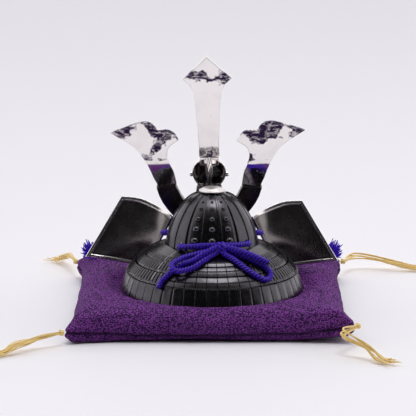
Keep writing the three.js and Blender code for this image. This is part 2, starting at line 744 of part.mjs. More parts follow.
// Crest sword: flat plate with a wide diamond point, its tang in the boss
function buildSword() {
  const foot = bossMiddle + bossHeight / 2 + gap;
  const half = swordWidth / 2;
  const rows = [ // shares of the sword's half width and length
    [0.42, 0], [0.415, 0.11], [0.51, 0.52], [0.546, 0.595], [0.577, 0.645], [0.72, 0.725], [1, 0.78],
  ];
  const right = rows.map(([x, y]) => [x * half, foot + y * swordLength]);
  const left = right.map(([x, y]) => [-x, y]).reverse();
  const blade = solid(upright(standingPlate([...right, [0, foot + swordLength], ...left], swordWall)));
  const tang = slab(swordWidth * 0.42 - 2 * bossWall, [-swordWall / 2, swordWall / 2], [foot - swordTang, foot + 0.5]);
  return turnPlate(surface(blade.add(solid(tang))), 0, foot, -swordLeft);
}
addPiece(leaning, 'crest_sword', buildSword(), silver);

// Bow at the back
addPiece(helmet, 'bow_band', cordTube(bandRoute), violetCord);
addPiece(helmet, 'bow_loop_left', cordTube(leftLoopRoute, { spacing: 1.2 }), violetCord);
addPiece(helmet, 'bow_tail_left', cordTube(leftTailRoute, { spacing: 1.8 }), violetCord);
addPiece(helmet, 'bow_loop_right', cordTube(rightLoopRoute, { spacing: 1.2 }), violetCord);
addPiece(helmet, 'bow_tail_right', cordTube(rightTailRoute, { spacing: 1.8 }), violetCord);

function buildBowKnot() {
  const knot = solid(knob(bowKnotPlace, [2.5, 2, 2], 10, 8));
  return surface(knot.subtract(solid(cordTube(bandRoute, { clearance: gap }))));
}
addPiece(helmet, 'bow_knot', buildBowKnot(), violetCord);

// Chin cord: out of a hole on each side, down in front of the neck guard to a knot, then out sideways
addPiece(helmet, 'chin_cord_left', cordTube(chinRoute), violetCord);
addPiece(helmet, 'chin_cord_right', cordTube(mirrored(chinRoute)), violetCord);
addPiece(helmet, 'chin_knot', knob(chinKnotPlace, [2.5, 2.5, 2]), violetCord);
addPiece(helmet, 'chin_tail_left', cordTube(chinTailRoute), violetCord);
addPiece(helmet, 'chin_tail_right', cordTube(mirrored(chinTailRoute)), violetCord);

// Frayed ends: locks of thread fanned up from the cord's end
function buildTuft(side) {
  const [x, y, z] = chinTailRoute.at(-1);
  const root = [side * -(x - cordDiameter / 2 - 1.2), y, z];
  let tuft = solid(knob(root, [1.2, 1.1, 1.1], 8, 5));
  for (const [out, ahead, up] of [[1, 1.5, 5.8], [3, 0.5, 6.2], [4.5, 1.5, 3.8], [4.4, -0.6, 1.2]]) {
    const end = [root[0] + side * out, root[1] + ahead, root[2] + up];
    const middle = [root[0] + side * out * 0.55, root[1] + ahead * 0.4, root[2] + up * 0.4];
    tuft = tuft.add(solid(lock([root, middle, end], 0.7, 1, 5, 3)));
  }
  return surface(tuft);
}
addPiece(helmet, 'chin_tuft_left', buildTuft(-1), violetCord);
addPiece(helmet, 'chin_tuft_right', buildTuft(1), violetCord);

export default model;
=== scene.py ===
import math
import random

import bmesh
import bpy
from mathutils import Matrix, Vector, noise


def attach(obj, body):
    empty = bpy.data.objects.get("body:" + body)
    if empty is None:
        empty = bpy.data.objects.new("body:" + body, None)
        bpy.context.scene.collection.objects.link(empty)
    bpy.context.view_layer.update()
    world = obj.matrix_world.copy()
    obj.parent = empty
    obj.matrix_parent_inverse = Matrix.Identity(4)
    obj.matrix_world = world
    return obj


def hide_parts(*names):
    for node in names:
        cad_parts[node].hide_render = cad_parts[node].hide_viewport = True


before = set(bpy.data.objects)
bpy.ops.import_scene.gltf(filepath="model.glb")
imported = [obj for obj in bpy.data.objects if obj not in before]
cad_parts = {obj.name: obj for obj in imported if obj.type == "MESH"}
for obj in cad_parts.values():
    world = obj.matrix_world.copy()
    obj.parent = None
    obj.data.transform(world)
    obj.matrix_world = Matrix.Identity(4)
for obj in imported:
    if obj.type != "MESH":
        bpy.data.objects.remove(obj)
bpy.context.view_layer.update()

print("stage: frame loaded")

# Places: the helmet stands on the cushion, and its front plates lean back, a little left of its middle
helmetPlace = {"centre": (0.001, -0.0013, 0.0089), "leanFoot": (-0.0011, 0.0269, 0), "lean": 14.5}
helmetFrame = Matrix.Translation(helmetPlace["centre"])
leaningFrame = (helmetFrame @ Matrix.Translation(helmetPlace["leanFoot"])
                @ Matrix.Rotation(math.radians(helmetPlace["lean"]), 4, "X"))

# Camera
view = {"distance": 1.0437, "elevation": 12.0, "target": (-0.0006, 0.0, 0.04125), "lens": 225.8,
        "sensor": 36, "farthest": 20}


def setCamera():
    scene = bpy.context.scene
    data = bpy.data.cameras.new("camera")
    data.lens = view["lens"]
    data.sensor_width = view["sensor"]
    data.clip_end = view["farthest"]
    camera = bpy.data.objects.new("camera", data)
    scene.collection.objects.link(camera)
    lift = math.radians(view["elevation"])
    away = Vector((0, -math.cos(lift), math.sin(lift))) * view["distance"]
    camera.location = Vector(view["target"]) + away
    camera.rotation_euler = (-away).to_track_quat("-Z", "Y").to_euler()
    scene.camera = camera
    scene.view_settings.view_transform = "Standard"


setCamera()


# Helpers
def fresh():
    active = bpy.context.view_layer.objects.active
    if active is not None and active.mode != "OBJECT":
        bpy.ops.object.mode_set(mode="OBJECT")
    bpy.ops.object.select_all(action="DESELECT")


def makeActive(piece):
    fresh()
    piece.select_set(True)
    bpy.context.view_layer.objects.active = piece


def named(name):
    piece = bpy.context.view_layer.objects.active
    piece.name = piece.data.name = name
    return piece


def applied(piece, kind, **settings):
    makeActive(piece)
    modifier = piece.modifiers.new(kind.lower(), kind)
    for key, value in settings.items():
        setattr(modifier, key, value)
    bpy.ops.object.modifier_apply(modifier=modifier.name)
    return piece


def beveled(piece, width, segments, angle):
    return applied(piece, "BEVEL", width=width, segments=segments, limit_method="ANGLE",
                   angle_limit=math.radians(angle))


def editing(piece, faces=None, edges=None):
    # Opens the piece in edit mode with only the faces or edges for which the test is true selected
    makeActive(piece)
    bpy.ops.object.mode_set(mode="EDIT")
    bpy.ops.mesh.select_mode(type="FACE" if faces else "EDGE")
    bpy.ops.mesh.select_all(action="DESELECT")
    mesh = bmesh.from_edit_mesh(piece.data)
    for part in mesh.faces if faces else mesh.edges:
        if (faces or edges)(part):
            part.select_set(True)
    bmesh.update_edit_mesh(piece.data)


def editAll(piece):
    makeActive(piece)
    bpy.ops.object.mode_set(mode="EDIT")
    bpy.ops.mesh.select_all(action="SELECT")


def closeEdit():
    bpy.ops.object.mode_set(mode="OBJECT")


def cleaned(piece, distance=1e-6):
    editAll(piece)
    bpy.ops.mesh.remove_doubles(threshold=distance)
    bpy.ops.mesh.normals_make_consistent(inside=False)
    closeEdit()
    return piece


def joined(name, pieces):
    makeActive(pieces[0])
    for piece in pieces[1:]:
        piece.select_set(True)
    bpy.ops.object.join()
    return named(name)


def copied(piece, name, matrix):
    twin = piece.copy()
    twin.data = piece.data.copy()
    twin.name = twin.data.name = name
    twin.data.transform(matrix)
    bpy.context.scene.collection.objects.link(twin)
    return twin


def looseCopy(source, name):
    # A CAD node's mesh as a piece of its own, its loose triangles merged
    piece = copied(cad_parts[source], name, Matrix.Identity(4))
    piece.parent = None
    piece.hide_render = piece.hide_viewport = False
    for key in list(piece.keys()):
        del piece[key]
    return cleaned(piece, 1e-5)


def smoothed(piece, angle=35):
    makeActive(piece)
    bpy.ops.object.shade_smooth_by_angle(angle=math.radians(angle))
    return piece


def dressed(piece, material, slot, *nodes):
    piece.data.materials.clear()
    piece.data.materials.append(material)
    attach(piece, "root")
    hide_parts(*nodes)
    return piece


def finished(piece, matrix, angle, *look):
    # Puts a piece that was made about its own origin in its place, smooths it and dresses it
    piece.data.transform(matrix)
    smoothed(piece, angle)
    return dressed(piece, *look)


def markings(piece, name):
    # A value for each point of a piece, which its material reads
    return piece.data.attributes.new(name, "FLOAT", "POINT").data


# Materials
def shader(name):
    material = bpy.data.materials.new(name)
    material.use_nodes = True
    tree = material.node_tree
    return material, tree, tree.nodes["Principled BSDF"]


def given(made, values):
    # Sets a node's inputs, each to a fixed value or from another node's socket
    for key, value in values.items():
        if isinstance(value, bpy.types.NodeSocket):
            made.id_data.links.new(value, made.inputs[key])
        else:
            made.inputs[key].default_value = value
    return made


def node(tree, kind, **settings):
    made = tree.nodes.new(kind)
    for key, value in settings.items():
        if key in made.inputs:
            given(made, {key: value})
        else:
            setattr(made, key, value)
    return made


def objectPlace(tree, stretch):
    place = node(tree, "ShaderNodeTexCoord").outputs["Object"]
    return given(node(tree, "ShaderNodeMapping"), {"Vector": place, "Scale": stretch}).outputs["Vector"]


def objectNoise(tree, scale, detail=4.0, rough=0.6, stretch=(1, 1, 1)):
    pattern = node(tree, "ShaderNodeTexNoise", Scale=scale, Detail=detail, Roughness=rough)
    return given(pattern, {"Vector": objectPlace(tree, stretch)}).outputs["Fac"]


def ramp(tree, source, *stops, kind="LINEAR"):
    made = given(node(tree, "ShaderNodeValToRGB"), {"Fac": source})
    made.color_ramp.interpolation = kind
    ends = made.color_ramp.elements
    while len(ends) < len(stops):
        ends.new(0.5)
    for end, (place, color) in zip(ends, stops):
        end.position = place
        end.color = (*color, 1)
    return made.outputs["Color"]


def mixed(tree, first, second, share=1.0, kind="MIX"):
    # Each colour, and the share of the second, is a socket or a fixed value
    first, second = (color if isinstance(color, bpy.types.NodeSocket) else (*color, 1) for color in (first, second))
    mix = node(tree, "ShaderNodeMixRGB", blend_type=kind)
    return given(mix, {"Color1": first, "Color2": second, "Fac": share}).outputs["Color"]


def reckoned(tree, operation, *values):
    return given(node(tree, "ShaderNodeMath", operation=operation), dict(enumerate(values))).outputs["Value"]


def marked(tree, name):
    # The value of a piece's own attribute
    return node(tree, "ShaderNodeAttribute", attribute_name=name).outputs["Fac"]


def grey(value):
    return (value, value, value)


def bumped(tree, height, strength, distance, before=None):
    bump = given(node(tree, "ShaderNodeBump"), {"Height": height, "Strength": strength, "Distance": distance})
    if before is not None:
        given(bump, {"Normal": before})
    return bump.outputs["Normal"]


# The groove colour is painted shade between the strands; the strand colour is the cord's own
cordLook = {"groove": (0.012, 0.002, 0.13), "strand": (0.085, 0.016, 0.74), "roughness": 0.42,
            "shine": 0.28, "fibres": 4200}


def cordMaterial():
    material, tree, shade = shader("violet_cord")
    # Painted shade in the grooves, following the braid's relief
    color = ramp(tree, marked(tree, "relief"), (0.3, cordLook["groove"]), (0.72, cordLook["strand"]))
    fibres = objectNoise(tree, cordLook["fibres"], 3)
    tone = ramp(tree, fibres, (0.3, (0.55, 0.55, 0.6)), (0.7, (1.35, 1.35, 1.3)))
    given(shade, {"Base Color": mixed(tree, color, tone, 0.5, "MULTIPLY"), "Roughness": cordLook["roughness"],
                  "Specular IOR Level": cordLook["shine"], "Normal": bumped(tree, fibres, 0.5, 0.0001)})
    return material


violetCord = cordMaterial()

# Cords: routes in the helmet's frame, the same points as the CAD's, in metres
cord = {"diameter": 0.002, "sides": 24, "spacing": 0.00016, "braid": 0.0002, "strands": 3, "pitch": 0.0039}
bandRoute = [
    (-0.011, -0.0107, 0.0198), (-0.0128, -0.0148, 0.02), (-0.0087, -0.0175, 0.0208), (-0.0033, -0.019, 0.0215),
    (0.0012, -0.0194, 0.0218), (0.0055, -0.0187, 0.0217), (0.0093, -0.0171, 0.0214), (0.0126, -0.0147, 0.0211),
    (0.0147, -0.0125, 0.0209), (0.0112, -0.0091, 0.0207),
]
leftBowRoute = [
    (0.0025, -0.0205, 0.0206), (-0.0002, -0.0207, 0.0196), (-0.0036, -0.0205, 0.0192), (-0.0071, -0.0219, 0.0185),
    (-0.0106, -0.0233, 0.0179), (-0.0135, -0.0252, 0.017), (-0.0157, -0.0273, 0.0158), (-0.0156, -0.0294, 0.0145),
    (-0.0135, -0.03, 0.0139), (-0.0103, -0.0287, 0.014), (-0.0068, -0.0276, 0.015), (-0.004, -0.0261, 0.0166),
    (-0.0011, -0.0237, 0.0181), (0.0017, -0.0217, 0.0196), (0.0025, -0.0211, 0.0211), (0.0007, -0.0218, 0.0211),
    (-0.0011, -0.023, 0.0204), (-0.0035, -0.0241, 0.0194), (-0.0075, -0.0251, 0.0169), (-0.0114, -0.0252, 0.0154),
    (-0.0146, -0.0258, 0.0137), (-0.0173, -0.027, 0.0116), (-0.0197, -0.028, 0.0093), (-0.0211, -0.0291, 0.0067),
]
rightBowRoute = [
    (0.0045, -0.0204, 0.0206), (0.0069, -0.0195, 0.0191), (0.0094, -0.0201, 0.0184), (0.0118, -0.0207, 0.0178),
    (0.0159, -0.0213, 0.0163), (0.0202, -0.0215, 0.014), (0.0227, -0.0225, 0.0119), (0.0227, -0.0245, 0.0102),
    (0.0208, -0.0267, 0.0096), (0.0176, -0.0272, 0.0112), (0.0142, -0.0267, 0.0133), (0.0107, -0.0252, 0.0157),
    (0.0078, -0.0234, 0.0174), (0.0058, -0.0223, 0.0183), (0.0039, -0.0215, 0.0196), (0.0045, -0.0209, 0.0211),
    (0.0069, -0.0208, 0.021), (0.0094, -0.0214, 0.0205), (0.0142, -0.0223, 0.0191), (0.0177, -0.0226, 0.0177),
    (0.0221, -0.0221, 0.0154),
]
chinRoute = [
    (-0.0138, 0.0012, 0.0222), (-0.0176, 0.0026, 0.0222), (-0.0196, 0.005, 0.0214), (-0.0182, 0.0084, 0.0206),
    (-0.0156, 0.0122, 0.02), (-0.0132, 0.0148, 0.019), (-0.0134, 0.0162, 0.0154), (-0.0138, 0.0196, 0.009),
    (-0.0118, 0.026, 0.0034), (-0.0074, 0.0312, 0.0012), (-0.003, 0.0326, 0.0016),
]
chinTailRoute = [
    (-0.0028, 0.0353, 0.002), (-0.009, 0.0392, 0.003), (-0.018, 0.0426, 0.0034), (-0.028, 0.0432, 0.0033),
    (-0.038, 0.0422, 0.0033), (-0.0455, 0.042, 0.0027),
]
bowKnot = {"centre": (0.0034, -0.0205, 0.0213), "ring": 0.00118, "reach": 0.0015, "thick": 0.00168, "turns": 2}
chinKnot = {"centre": (0, 0.0338, 0.0021), "ring": 0.00118, "reach": 0.0015, "thick": 0.00168, "turns": 2}
tuft = {"threads": 110, "thick": 0.00036, "seed": 7, "past": 0.0004, "bundle": 0.0007, "spacing": 0.0007,
        "lead": 0.0012, "shortest": 0.85, "longest": 1.3, "relief": 0.75}
tuftFan = [(0.0016, 0.0015, 0.0056), (0.004, 0.0005, 0.0056), (0.0058, 0.0015, 0.0032), (0.0058, -0.0006, 0.0002)]


def lineThrough(points, spacing):
    marks = [Vector(point) for point in points]
    marks = [marks[0] * 2 - marks[1], *marks, marks[-1] * 2 - marks[-2]]
    line = []
    for a, b, c, d in zip(marks, marks[1:], marks[2:], marks[3:]):
        before, within, after = ((q - p).length ** 0.5 for p, q in ((a, b), (b, c), (c, d)))
        leaving = ((b - a) / before - (c - a) / (before + within) + (c - b) / within) * within
        arriving = ((c - b) / within - (d - b) / (within + after) + (d - c) / after) * within
        steps = max(2, round((c - b).length / spacing))
        for i in range(steps):
            t = i / steps
            line.append(b * (2 * t**3 - 3 * t**2 + 1) + leaving * (t**3 - 2 * t**2 + t)
                        + c * (3 * t**2 - 2 * t**3) + arriving * (t**3 - t**2))
    line.append(marks[-2])
    return line


def tube(name, lines, diameter, sides=6):
    # Round cords or threads along the given lines, as one mesh
    fresh()
    bpy.ops.curve.primitive_nurbs_path_add()
    curve = bpy.context.object.data
    curve.splines.clear()
    for line in lines:
        spline = curve.splines.new("POLY")
        spline.points.add(len(line) - 1)
        for mark, point in zip(spline.points, line):
            mark.co = (*point, 1)
    curve.bevel_depth = diameter / 2
    curve.bevel_resolution = (sides - 4) // 2
    curve.use_fill_caps = True
    bpy.ops.object.convert(target="MESH")
    piece = named(name)
    bpy.ops.object.shade_smooth()
    return piece


def lengthOf(line):
    return sum((b - a).length for a, b in zip(line, line[1:]))


def braided(name, route, diameter, matrix=helmetFrame):
    line = lineThrough([matrix @ Vector(point) for point in route], cord["spacing"])
    piece = tube(name, [line], diameter, cord["sides"])
    vertices = piece.data.vertices
    sides = len(vertices) // len(line)
    relief = markings(piece, "relief")
    gone = 0.0
    for i, centre in enumerate(line):
        if i:
            gone += (centre - line[i - 1]).length
        for j in range(sides):
            vertex = vertices[i * sides + j]
            around = math.tau * j / sides
            along = math.tau * gone / cord["pitch"]
            rise = (0.7 * math.cos(cord["strands"] * (around + along))
                    + 0.3 * math.cos(cord["strands"] * (around - along)))
            relief[i * sides + j].value = 0.5 + 0.5 * rise
            outward = vertex.co - centre
            if outward.length > 1e-7:
                vertex.co = centre + outward * (1 + rise * cord["braid"] / outward.length)
    return piece, line


def makeCord(name, route, farEnd, lay, *nodes, pieces=()):
    piece, line = braided(name, route, cord["diameter"])
    dressed(piece, violetCord, "violet_cord", *nodes)
    print("cord", name, round(lengthOf(line), 4))
    return piece


def makeKnot(name, knot, replaced):
    steps = 16 * knot["turns"]
    route = []
    for i in range(steps + 1):
        turn = math.tau * knot["turns"] * i / steps - math.pi / 2
        shift = knot["reach"] * (2 * i / steps - 1)
        route.append((knot["centre"][0] + shift, knot["centre"][1] + knot["ring"] * math.cos(turn),
                      knot["centre"][2] + knot["ring"] * math.sin(turn)))
    return dressed(braided(name, route, knot["thick"])[0], violetCord, "violet_cord", replaced)


def mirroredRoute(route):
    return [(-x, y, z) for x, y, z in route]


def makeTuft(name, side, replaced):
    chance = random.Random(tuft["seed"] + side)
    base = Vector(chinTailRoute[-1])
    base.x = side * (tuft["past"] - base.x)
    lines = []
    for i in range(tuft["threads"]):
        first, second = chance.sample(tuftFan, 2)
        mix = chance.random()
        reach = [a * mix + b * (1 - mix) for a, b in zip(first, second)]
        reach = Vector((side * (reach[0] + tuft["lead"]), reach[1], reach[2]))
        reach *= chance.uniform(tuft["shortest"], tuft["longest"])
        start = base + Vector((0, *(chance.uniform(-tuft["bundle"], tuft["bundle"]) for _ in range(2))))
        middle = start + Vector((reach.x * 0.6, reach.y * 0.4, reach.z * 0.35))
        line = lineThrough([start, middle, start + reach], tuft["spacing"])
        lines.append([helmetFrame @ point for point in line])
    piece = tube(name, lines, tuft["thick"])
    for mark in markings(piece, "relief"):
        mark.value = tuft["relief"]
    return dressed(piece, violetCord, "violet_cord", replaced)


makeKnot("bow_knot_wraps", bowKnot, "bow_knot")
chinKnotPiece = makeKnot("chin_knot_wraps", chinKnot, "chin_knot")
makeCord("bow_band_cord", bandRoute, "object", "taut", "bow_band")
makeCord("bow_left_cord", leftBowRoute, "bare", "loose", "bow_loop_left", "bow_tail_left")
makeCord("bow_right_cord", rightBowRoute, "bare", "loose", "bow_loop_right", "bow_tail_right")
makeCord("chin_cord", [*chinRoute, (0, 0.0331, 0.0019), *reversed(mirroredRoute(chinRoute))], "object", "loose",
         "chin_cord_left", "chin_cord_right", pieces=[chinKnotPiece])
for side, word in ((-1, "left"), (1, "right")):
    piece = makeTuft("frayed_end_" + word, side, "chin_tuft_" + word)
    makeCord("chin_tail_cord_" + word, chinTailRoute if side < 0 else mirroredRoute(chinTailRoute), "bare", "loose",
             "chin_tail_" + word, pieces=[piece])
print("stage: cords")

# Metals
# The black recess colour is painted shade
metal = {"black": (0.105, 0.1, 0.11), "blackWorn": (0.22, 0.21, 0.22), "recess": (0.012, 0.011, 0.013),
         "blackGloss": (0.19, 0.33), "silver": (0.92, 0.875, 0.86), "silverWorn": (0.84, 0.795, 0.785),
         # The hollow colour is painted shade and dark reflection; the fleck colour after it is a painted dark violet
         # reflection
         "hollow": (0.075, 0.06, 0.06), "paintedReflection": (0.05, 0.025, 0.085), "patches": 120, "patchEdge": (0.73, 0.79),
         "roughDepth": 0.0005, "bandFrom": 0.056, "bandTo": 0.106, "bandWeight": 0.38}
# Where the plates have rough patches and painted dark violet reflection flecks: share of the height from bandFrom to
# bandTo, and how much
hornBands = [(0.0, 0.0), (0.02, 0.15), (0.05, 0.82), (0.12, 0.62), (0.18, 0.48), (0.24, 0.7), (0.4, 0.95)]
swordBands = [(0.0, 0.8), (0.14, 0.62), (0.22, 0.0), (0.66, 0.0), (0.76, 0.72), (0.86, 0.62), (0.94, 0.2)]


def blackMaterial():
    material, tree, shade = shader("black_metal")
    cloud = objectNoise(tree, 260, 5)
    scratches = objectNoise(tree, 900, 4, stretch=(1, 1, 0.12))
    tone = ramp(tree, cloud, (0.3, [c * 0.72 for c in metal["black"]]), (0.72, metal["black"]))
    edge = node(tree, "ShaderNodeNewGeometry").outputs["Pointiness"]
    rubbed = mixed(tree, tone, metal["blackWorn"], ramp(tree, edge, (0.55, grey(0)), (0.68, grey(1))))
    glossy, dull = metal["blackGloss"]
    cast = bumped(tree, cloud, 0.3, 0.0002)
    # Painted shade: the near-black recess colour where a piece's recess mark is set, in the guard tiers' slots and
    # channels
    given(shade, {"Base Color": mixed(tree, rubbed, metal["recess"], marked(tree, "recess")), "Metallic": 1,
                  "Roughness": ramp(tree, scratches, (0.25, grey(glossy)), (0.8, grey(dull))),
                  "Normal": bumped(tree, scratches, 0.12, 0.00005, cast)})
    return material


def roughWithPaintedReflections(tree, color, bands, before):
    # Colour and normal with rough cast patches and painted dark violet reflection flecks, at the heights that bands
    # gives
    place = node(tree, "ShaderNodeTexCoord").outputs["Object"]
    height = given(node(tree, "ShaderNodeSeparateXYZ"), {"Vector": place}).outputs["Z"]
    level = given(node(tree, "ShaderNodeMapRange"),
                  {"Value": height, "From Min": metal["bandFrom"], "From Max": metal["bandTo"]})
    weight = ramp(tree, level.outputs["Result"], *((at, grey(share)) for at, share in bands))
    patches = objectNoise(tree, metal["patches"], 3, 0.6)
    clear, full = metal["patchEdge"]
    total = reckoned(tree, "MULTIPLY_ADD", weight, metal["bandWeight"], patches)
    mask = ramp(tree, total, (clear, grey(0)), (full, grey(1)))
    streaks = objectNoise(tree, 650, 6, 0.7, stretch=(0.6, 1, 1.2))
    flecks = ramp(tree, streaks, (0.5, grey(1)), (0.6, grey(0)))
    # Painted reflection: dark violet flecks where the patch mask and the streaks meet
    return (mixed(tree, color, metal["paintedReflection"], reckoned(tree, "MULTIPLY", mask, flecks)),
            bumped(tree, streaks, mask, metal["roughDepth"], before))


def silverMaterial(name, waves, depth, bands=(), gloss=(0.12, 0.05), dull=1.0):
    # Polished plate with slow waves and fine scratches, with painted shade and dark reflection in its hollow colour
    # where its recess mark is set
    material, tree, shade = shader(name)
    smudge = objectNoise(tree, 120, 5)
    tone = ramp(tree, smudge, (0.25, [c * dull for c in metal["silverWorn"]]),
                (0.5, [c * dull for c in metal["silver"]]))
    # Painted shade and dark reflection: the dark hollow colour where the recess mark is set
    color = mixed(tree, tone, metal["hollow"], marked(tree, "recess"))
    wavy = bumped(tree, objectNoise(tree, waves, 2, 0.45), 1.0, depth)
    normal = bumped(tree, objectNoise(tree, 1400, 4), 0.06, 0.00004, wavy)
    if bands:
        color, normal = roughWithPaintedReflections(tree, color, bands, normal)
    given(shade, {"Base Color": color, "Metallic": 1, "Normal": normal,
                  "Roughness": ramp(tree, smudge, (0.3, grey(gloss[0])), (0.65, grey(gloss[1])))})
    return material


blackMetal = blackMaterial()
silver = silverMaterial("silver", 70, 0.00012)
satinSilver = silverMaterial("silver_satin", 70, 0.00012, gloss=(0.5, 0.38))
# Base colour dimmed to 0.46 as painted dark reflection, for the horn holder
shadedSilver = silverMaterial("silver_shaded", 60, 0.0003, gloss=(0.32, 0.2), dull=0.46)
wingSilver = silverMaterial("silver_wings", 60, 0.0003, gloss=(0.32, 0.2))
hornSilver = silverMaterial("silver_horns", 110, 0.00016, hornBands)
swordSilver = silverMaterial("silver_sword", 70, 0.00008, swordBands)


def around(radius, angle, height):
    turn = math.radians(angle)
    return Vector((radius * math.sin(turn), -radius * math.cos(turn), height))


def spunSection(name, section, steps, start, sweep):
    # A closed section of (radius, height) pairs, spun about the helmet's axis
    fresh()
    bpy.ops.mesh.primitive_circle_add(vertices=len(section), radius=0.01)
    piece = named(name)
    for vertex, (radius, height) in zip(piece.data.vertices, section):
        vertex.co = around(radius, start, height)
    editAll(piece)
    bpy.ops.mesh.spin(steps=steps, angle=-math.radians(sweep), center=(0, 0, 0), axis=(0, 0, 1))
    if sweep < 360:
        bpy.ops.mesh.select_mode(type="EDGE")
        bpy.ops.mesh.select_all(action="DESELECT")
        bpy.ops.mesh.select_non_manifold()
        bpy.ops.mesh.fill_holes(sides=0)
    closeEdit()
    return cleaned(piece)


def eased(stops, count):
    # Evenly shared points along a smooth line through (radius, height) pairs
    line = lineThrough([(x, 0, z) for x, z in stops], 0.0002)
    total = lengthOf(line)
    marks, gone, wanted = [(line[0].x, line[0].z)], 0.0, total / (count - 1)
    for a, b in zip(line, line[1:]):
        gone += (b - a).length
        if gone >= wanted * len(marks) - 1e-9 and len(marks) < count - 1:
            marks.append((b.x, b.z))
    marks.append((line[-1].x, line[-1].z))
    return marks


def bearing(point):
    return math.degrees(math.atan2(point.x, -point.y))


def raised(piece, chosen, height):
    editing(piece, faces=chosen)
    bpy.ops.mesh.extrude_region_shrink_fatten(TRANSFORM_OT_shrink_fatten={"value": height})
    closeEdit()


def nearLine(angle, first, pitch, half):
    return abs((angle - first + pitch / 2) % pitch - pitch / 2) < half


# Bowl
bowl = {"radius": 0.0184, "foot": 0.0186, "rise": 0.0208, "skirt": 0.0012, "wall": 0.0013, "crownHole": 0.0025,
        "columns": 240, "rings": 34, "gores": 22.5, "lineHalf": 2.3, "lineTop": 0.975, "ridge": 0.0004,
        "groove": 0.0006, "bevel": 0.00012, "cordHole": 0.00145, "drill": 0.0062}
bowlProfile = [(1.0, 0.0), (0.957, 0.216), (0.826, 0.51), (0.598, 0.808), (0.397, 0.947), (0.18, 1.0)]
rivetRows = [(0.2, 0.00165), (0.41, 0.00145), (0.59, 0.0012), (0.77, 0.0009), (0.88, 0.00062)]


def bowlLine():
    stops = [(wide * bowl["radius"], bowl["foot"] + high * bowl["rise"]) for wide, high in bowlProfile]
    return eased(stops, bowl["rings"])


def rivet():
    fresh()
    bpy.ops.mesh.primitive_uv_sphere_add(segments=20, ring_count=12, radius=1)
    piece = named("rivet")
    editAll(piece)
    bpy.ops.mesh.bisect(plane_co=(0, 0, 0), plane_no=(0, 0, 1), clear_inner=True, use_fill=True)
    closeEdit()
    editing(piece, faces=lambda face: face.normal.z < -0.9)
    bpy.ops.mesh.extrude_region_move(TRANSFORM_OT_translate={"value": (0, 0, -0.5)})
    closeEdit()
    return piece


def profileAt(line, height):
    # Radius of the bowl at a height, and how far its surface leans there
    for (r1, z1), (r2, z2) in zip(line, line[1:]):
        if z1 <= height <= z2:
            share = (height - z1) / (z2 - z1)
            return r1 + (r2 - r1) * share, math.atan2(r1 - r2, z2 - z1)
    return line[-1][0], math.pi / 2


def makeBowl():
    outside = bowlLine()
    inside = [(max(r - bowl["wall"], bowl["crownHole"]), z - bowl["wall"] * 0.6 * (z - bowl["foot"]) / bowl["rise"])
              for r, z in reversed(outside)]
    foot = bowl["foot"] - bowl["skirt"]
    section = [(bowl["radius"], foot), *outside, *inside, (bowl["radius"] - bowl["wall"], foot)]
    piece = spunSection("bowl_shell", section, bowl["columns"], 0, 360)
    low, top = bowl["foot"] + 0.0002, bowl["foot"] + bowl["rise"] * bowl["lineTop"]

    def onLine(face, odd):
        centre = face.calc_center_median()
        if not low < centre.z < top or face.normal.dot(centre - Vector((0, 0, bowl["foot"]))) < 0:
            return False
        angle = abs(bearing(centre))
        index = round((angle - bowl["gores"] / 2) / bowl["gores"])
        return nearLine(angle, bowl["gores"] / 2, bowl["gores"], bowl["lineHalf"]) and index % 2 == odd

    raised(piece, lambda face: onLine(face, 0), bowl["ridge"])
    raised(piece, lambda face: onLine(face, 1), -bowl["groove"])
    beveled(piece, bowl["bevel"], 2, 40)
    for inner, outer in ((bandRoute[0], bandRoute[1]), (bandRoute[-1], bandRoute[-2]), (chinRoute[1], chinRoute[2]),
                         mirroredRoute(chinRoute[1:3])):
        inner, outer = Vector(inner), Vector(outer)
        along = (outer - inner).normalized()
        fresh()
        bpy.ops.mesh.primitive_cylinder_add(vertices=22, radius=bowl["cordHole"], depth=bowl["drill"])
        cutter = named("cutter")
        turn = along.to_track_quat("Z", "Y").to_matrix().to_4x4()
        cutter.data.transform(Matrix.Translation((inner + outer) / 2) @ turn)
        applied(piece, "BOOLEAN", object=cutter, operation="DIFFERENCE", solver="EXACT")
        bpy.data.objects.remove(cutter)
    model = rivet()
    rivets = []
    for side in (0, 180):
        for gore in (-1, 0, 1):
            for high, radius in rivetRows:
                height = bowl["foot"] + bowl["rise"] * high
                wide, slope = profileAt(outside, height)
                angle = side + gore * bowl["gores"]
                outward = around(math.cos(slope), angle, math.sin(slope))
                spot = around(wide, angle, height)
                turn = outward.to_track_quat("Z", "Y").to_matrix().to_4x4()
                rivets.append(copied(model, "rivet", Matrix.Translation(spot) @ turn
                                     @ Matrix.Diagonal((radius, radius, radius * 1.05, 1))))
    bpy.data.objects.remove(model)
    piece = joined("bowl_shell", [piece, *rivets])
    finished(piece, helmetFrame, 32, blackMetal, "black_metal", "bowl")


# Section of the crown plate as (radius, height over its seat): a plug below, a stepped dome above
crownSeat = bowl["foot"] + bowl["rise"] + 0.0003
crownSection = [(0, -0.0013), (0.003, -0.0013), (0.003, 0), (0.005, 0), (0.0052, 0.0001), (0.0052, 0.0004),
                (0.0049, 0.0006), (0.0045, 0.0007), (0.0041, 0.001), (0.0036, 0.0013), (0.0024, 0.0015),
                (0.0012, 0.0016), (0, 0.00162)]


def makeCrownPlate():
    section = [(radius, crownSeat + height) for radius, height in crownSection]
    piece = spunSection("crown_dome", section, 72, 0, 360)
    finished(piece, helmetFrame, 40, satinSilver, "silver", "crown_plate")


makeBowl()
makeCrownPlate()
print("stage: bowl")

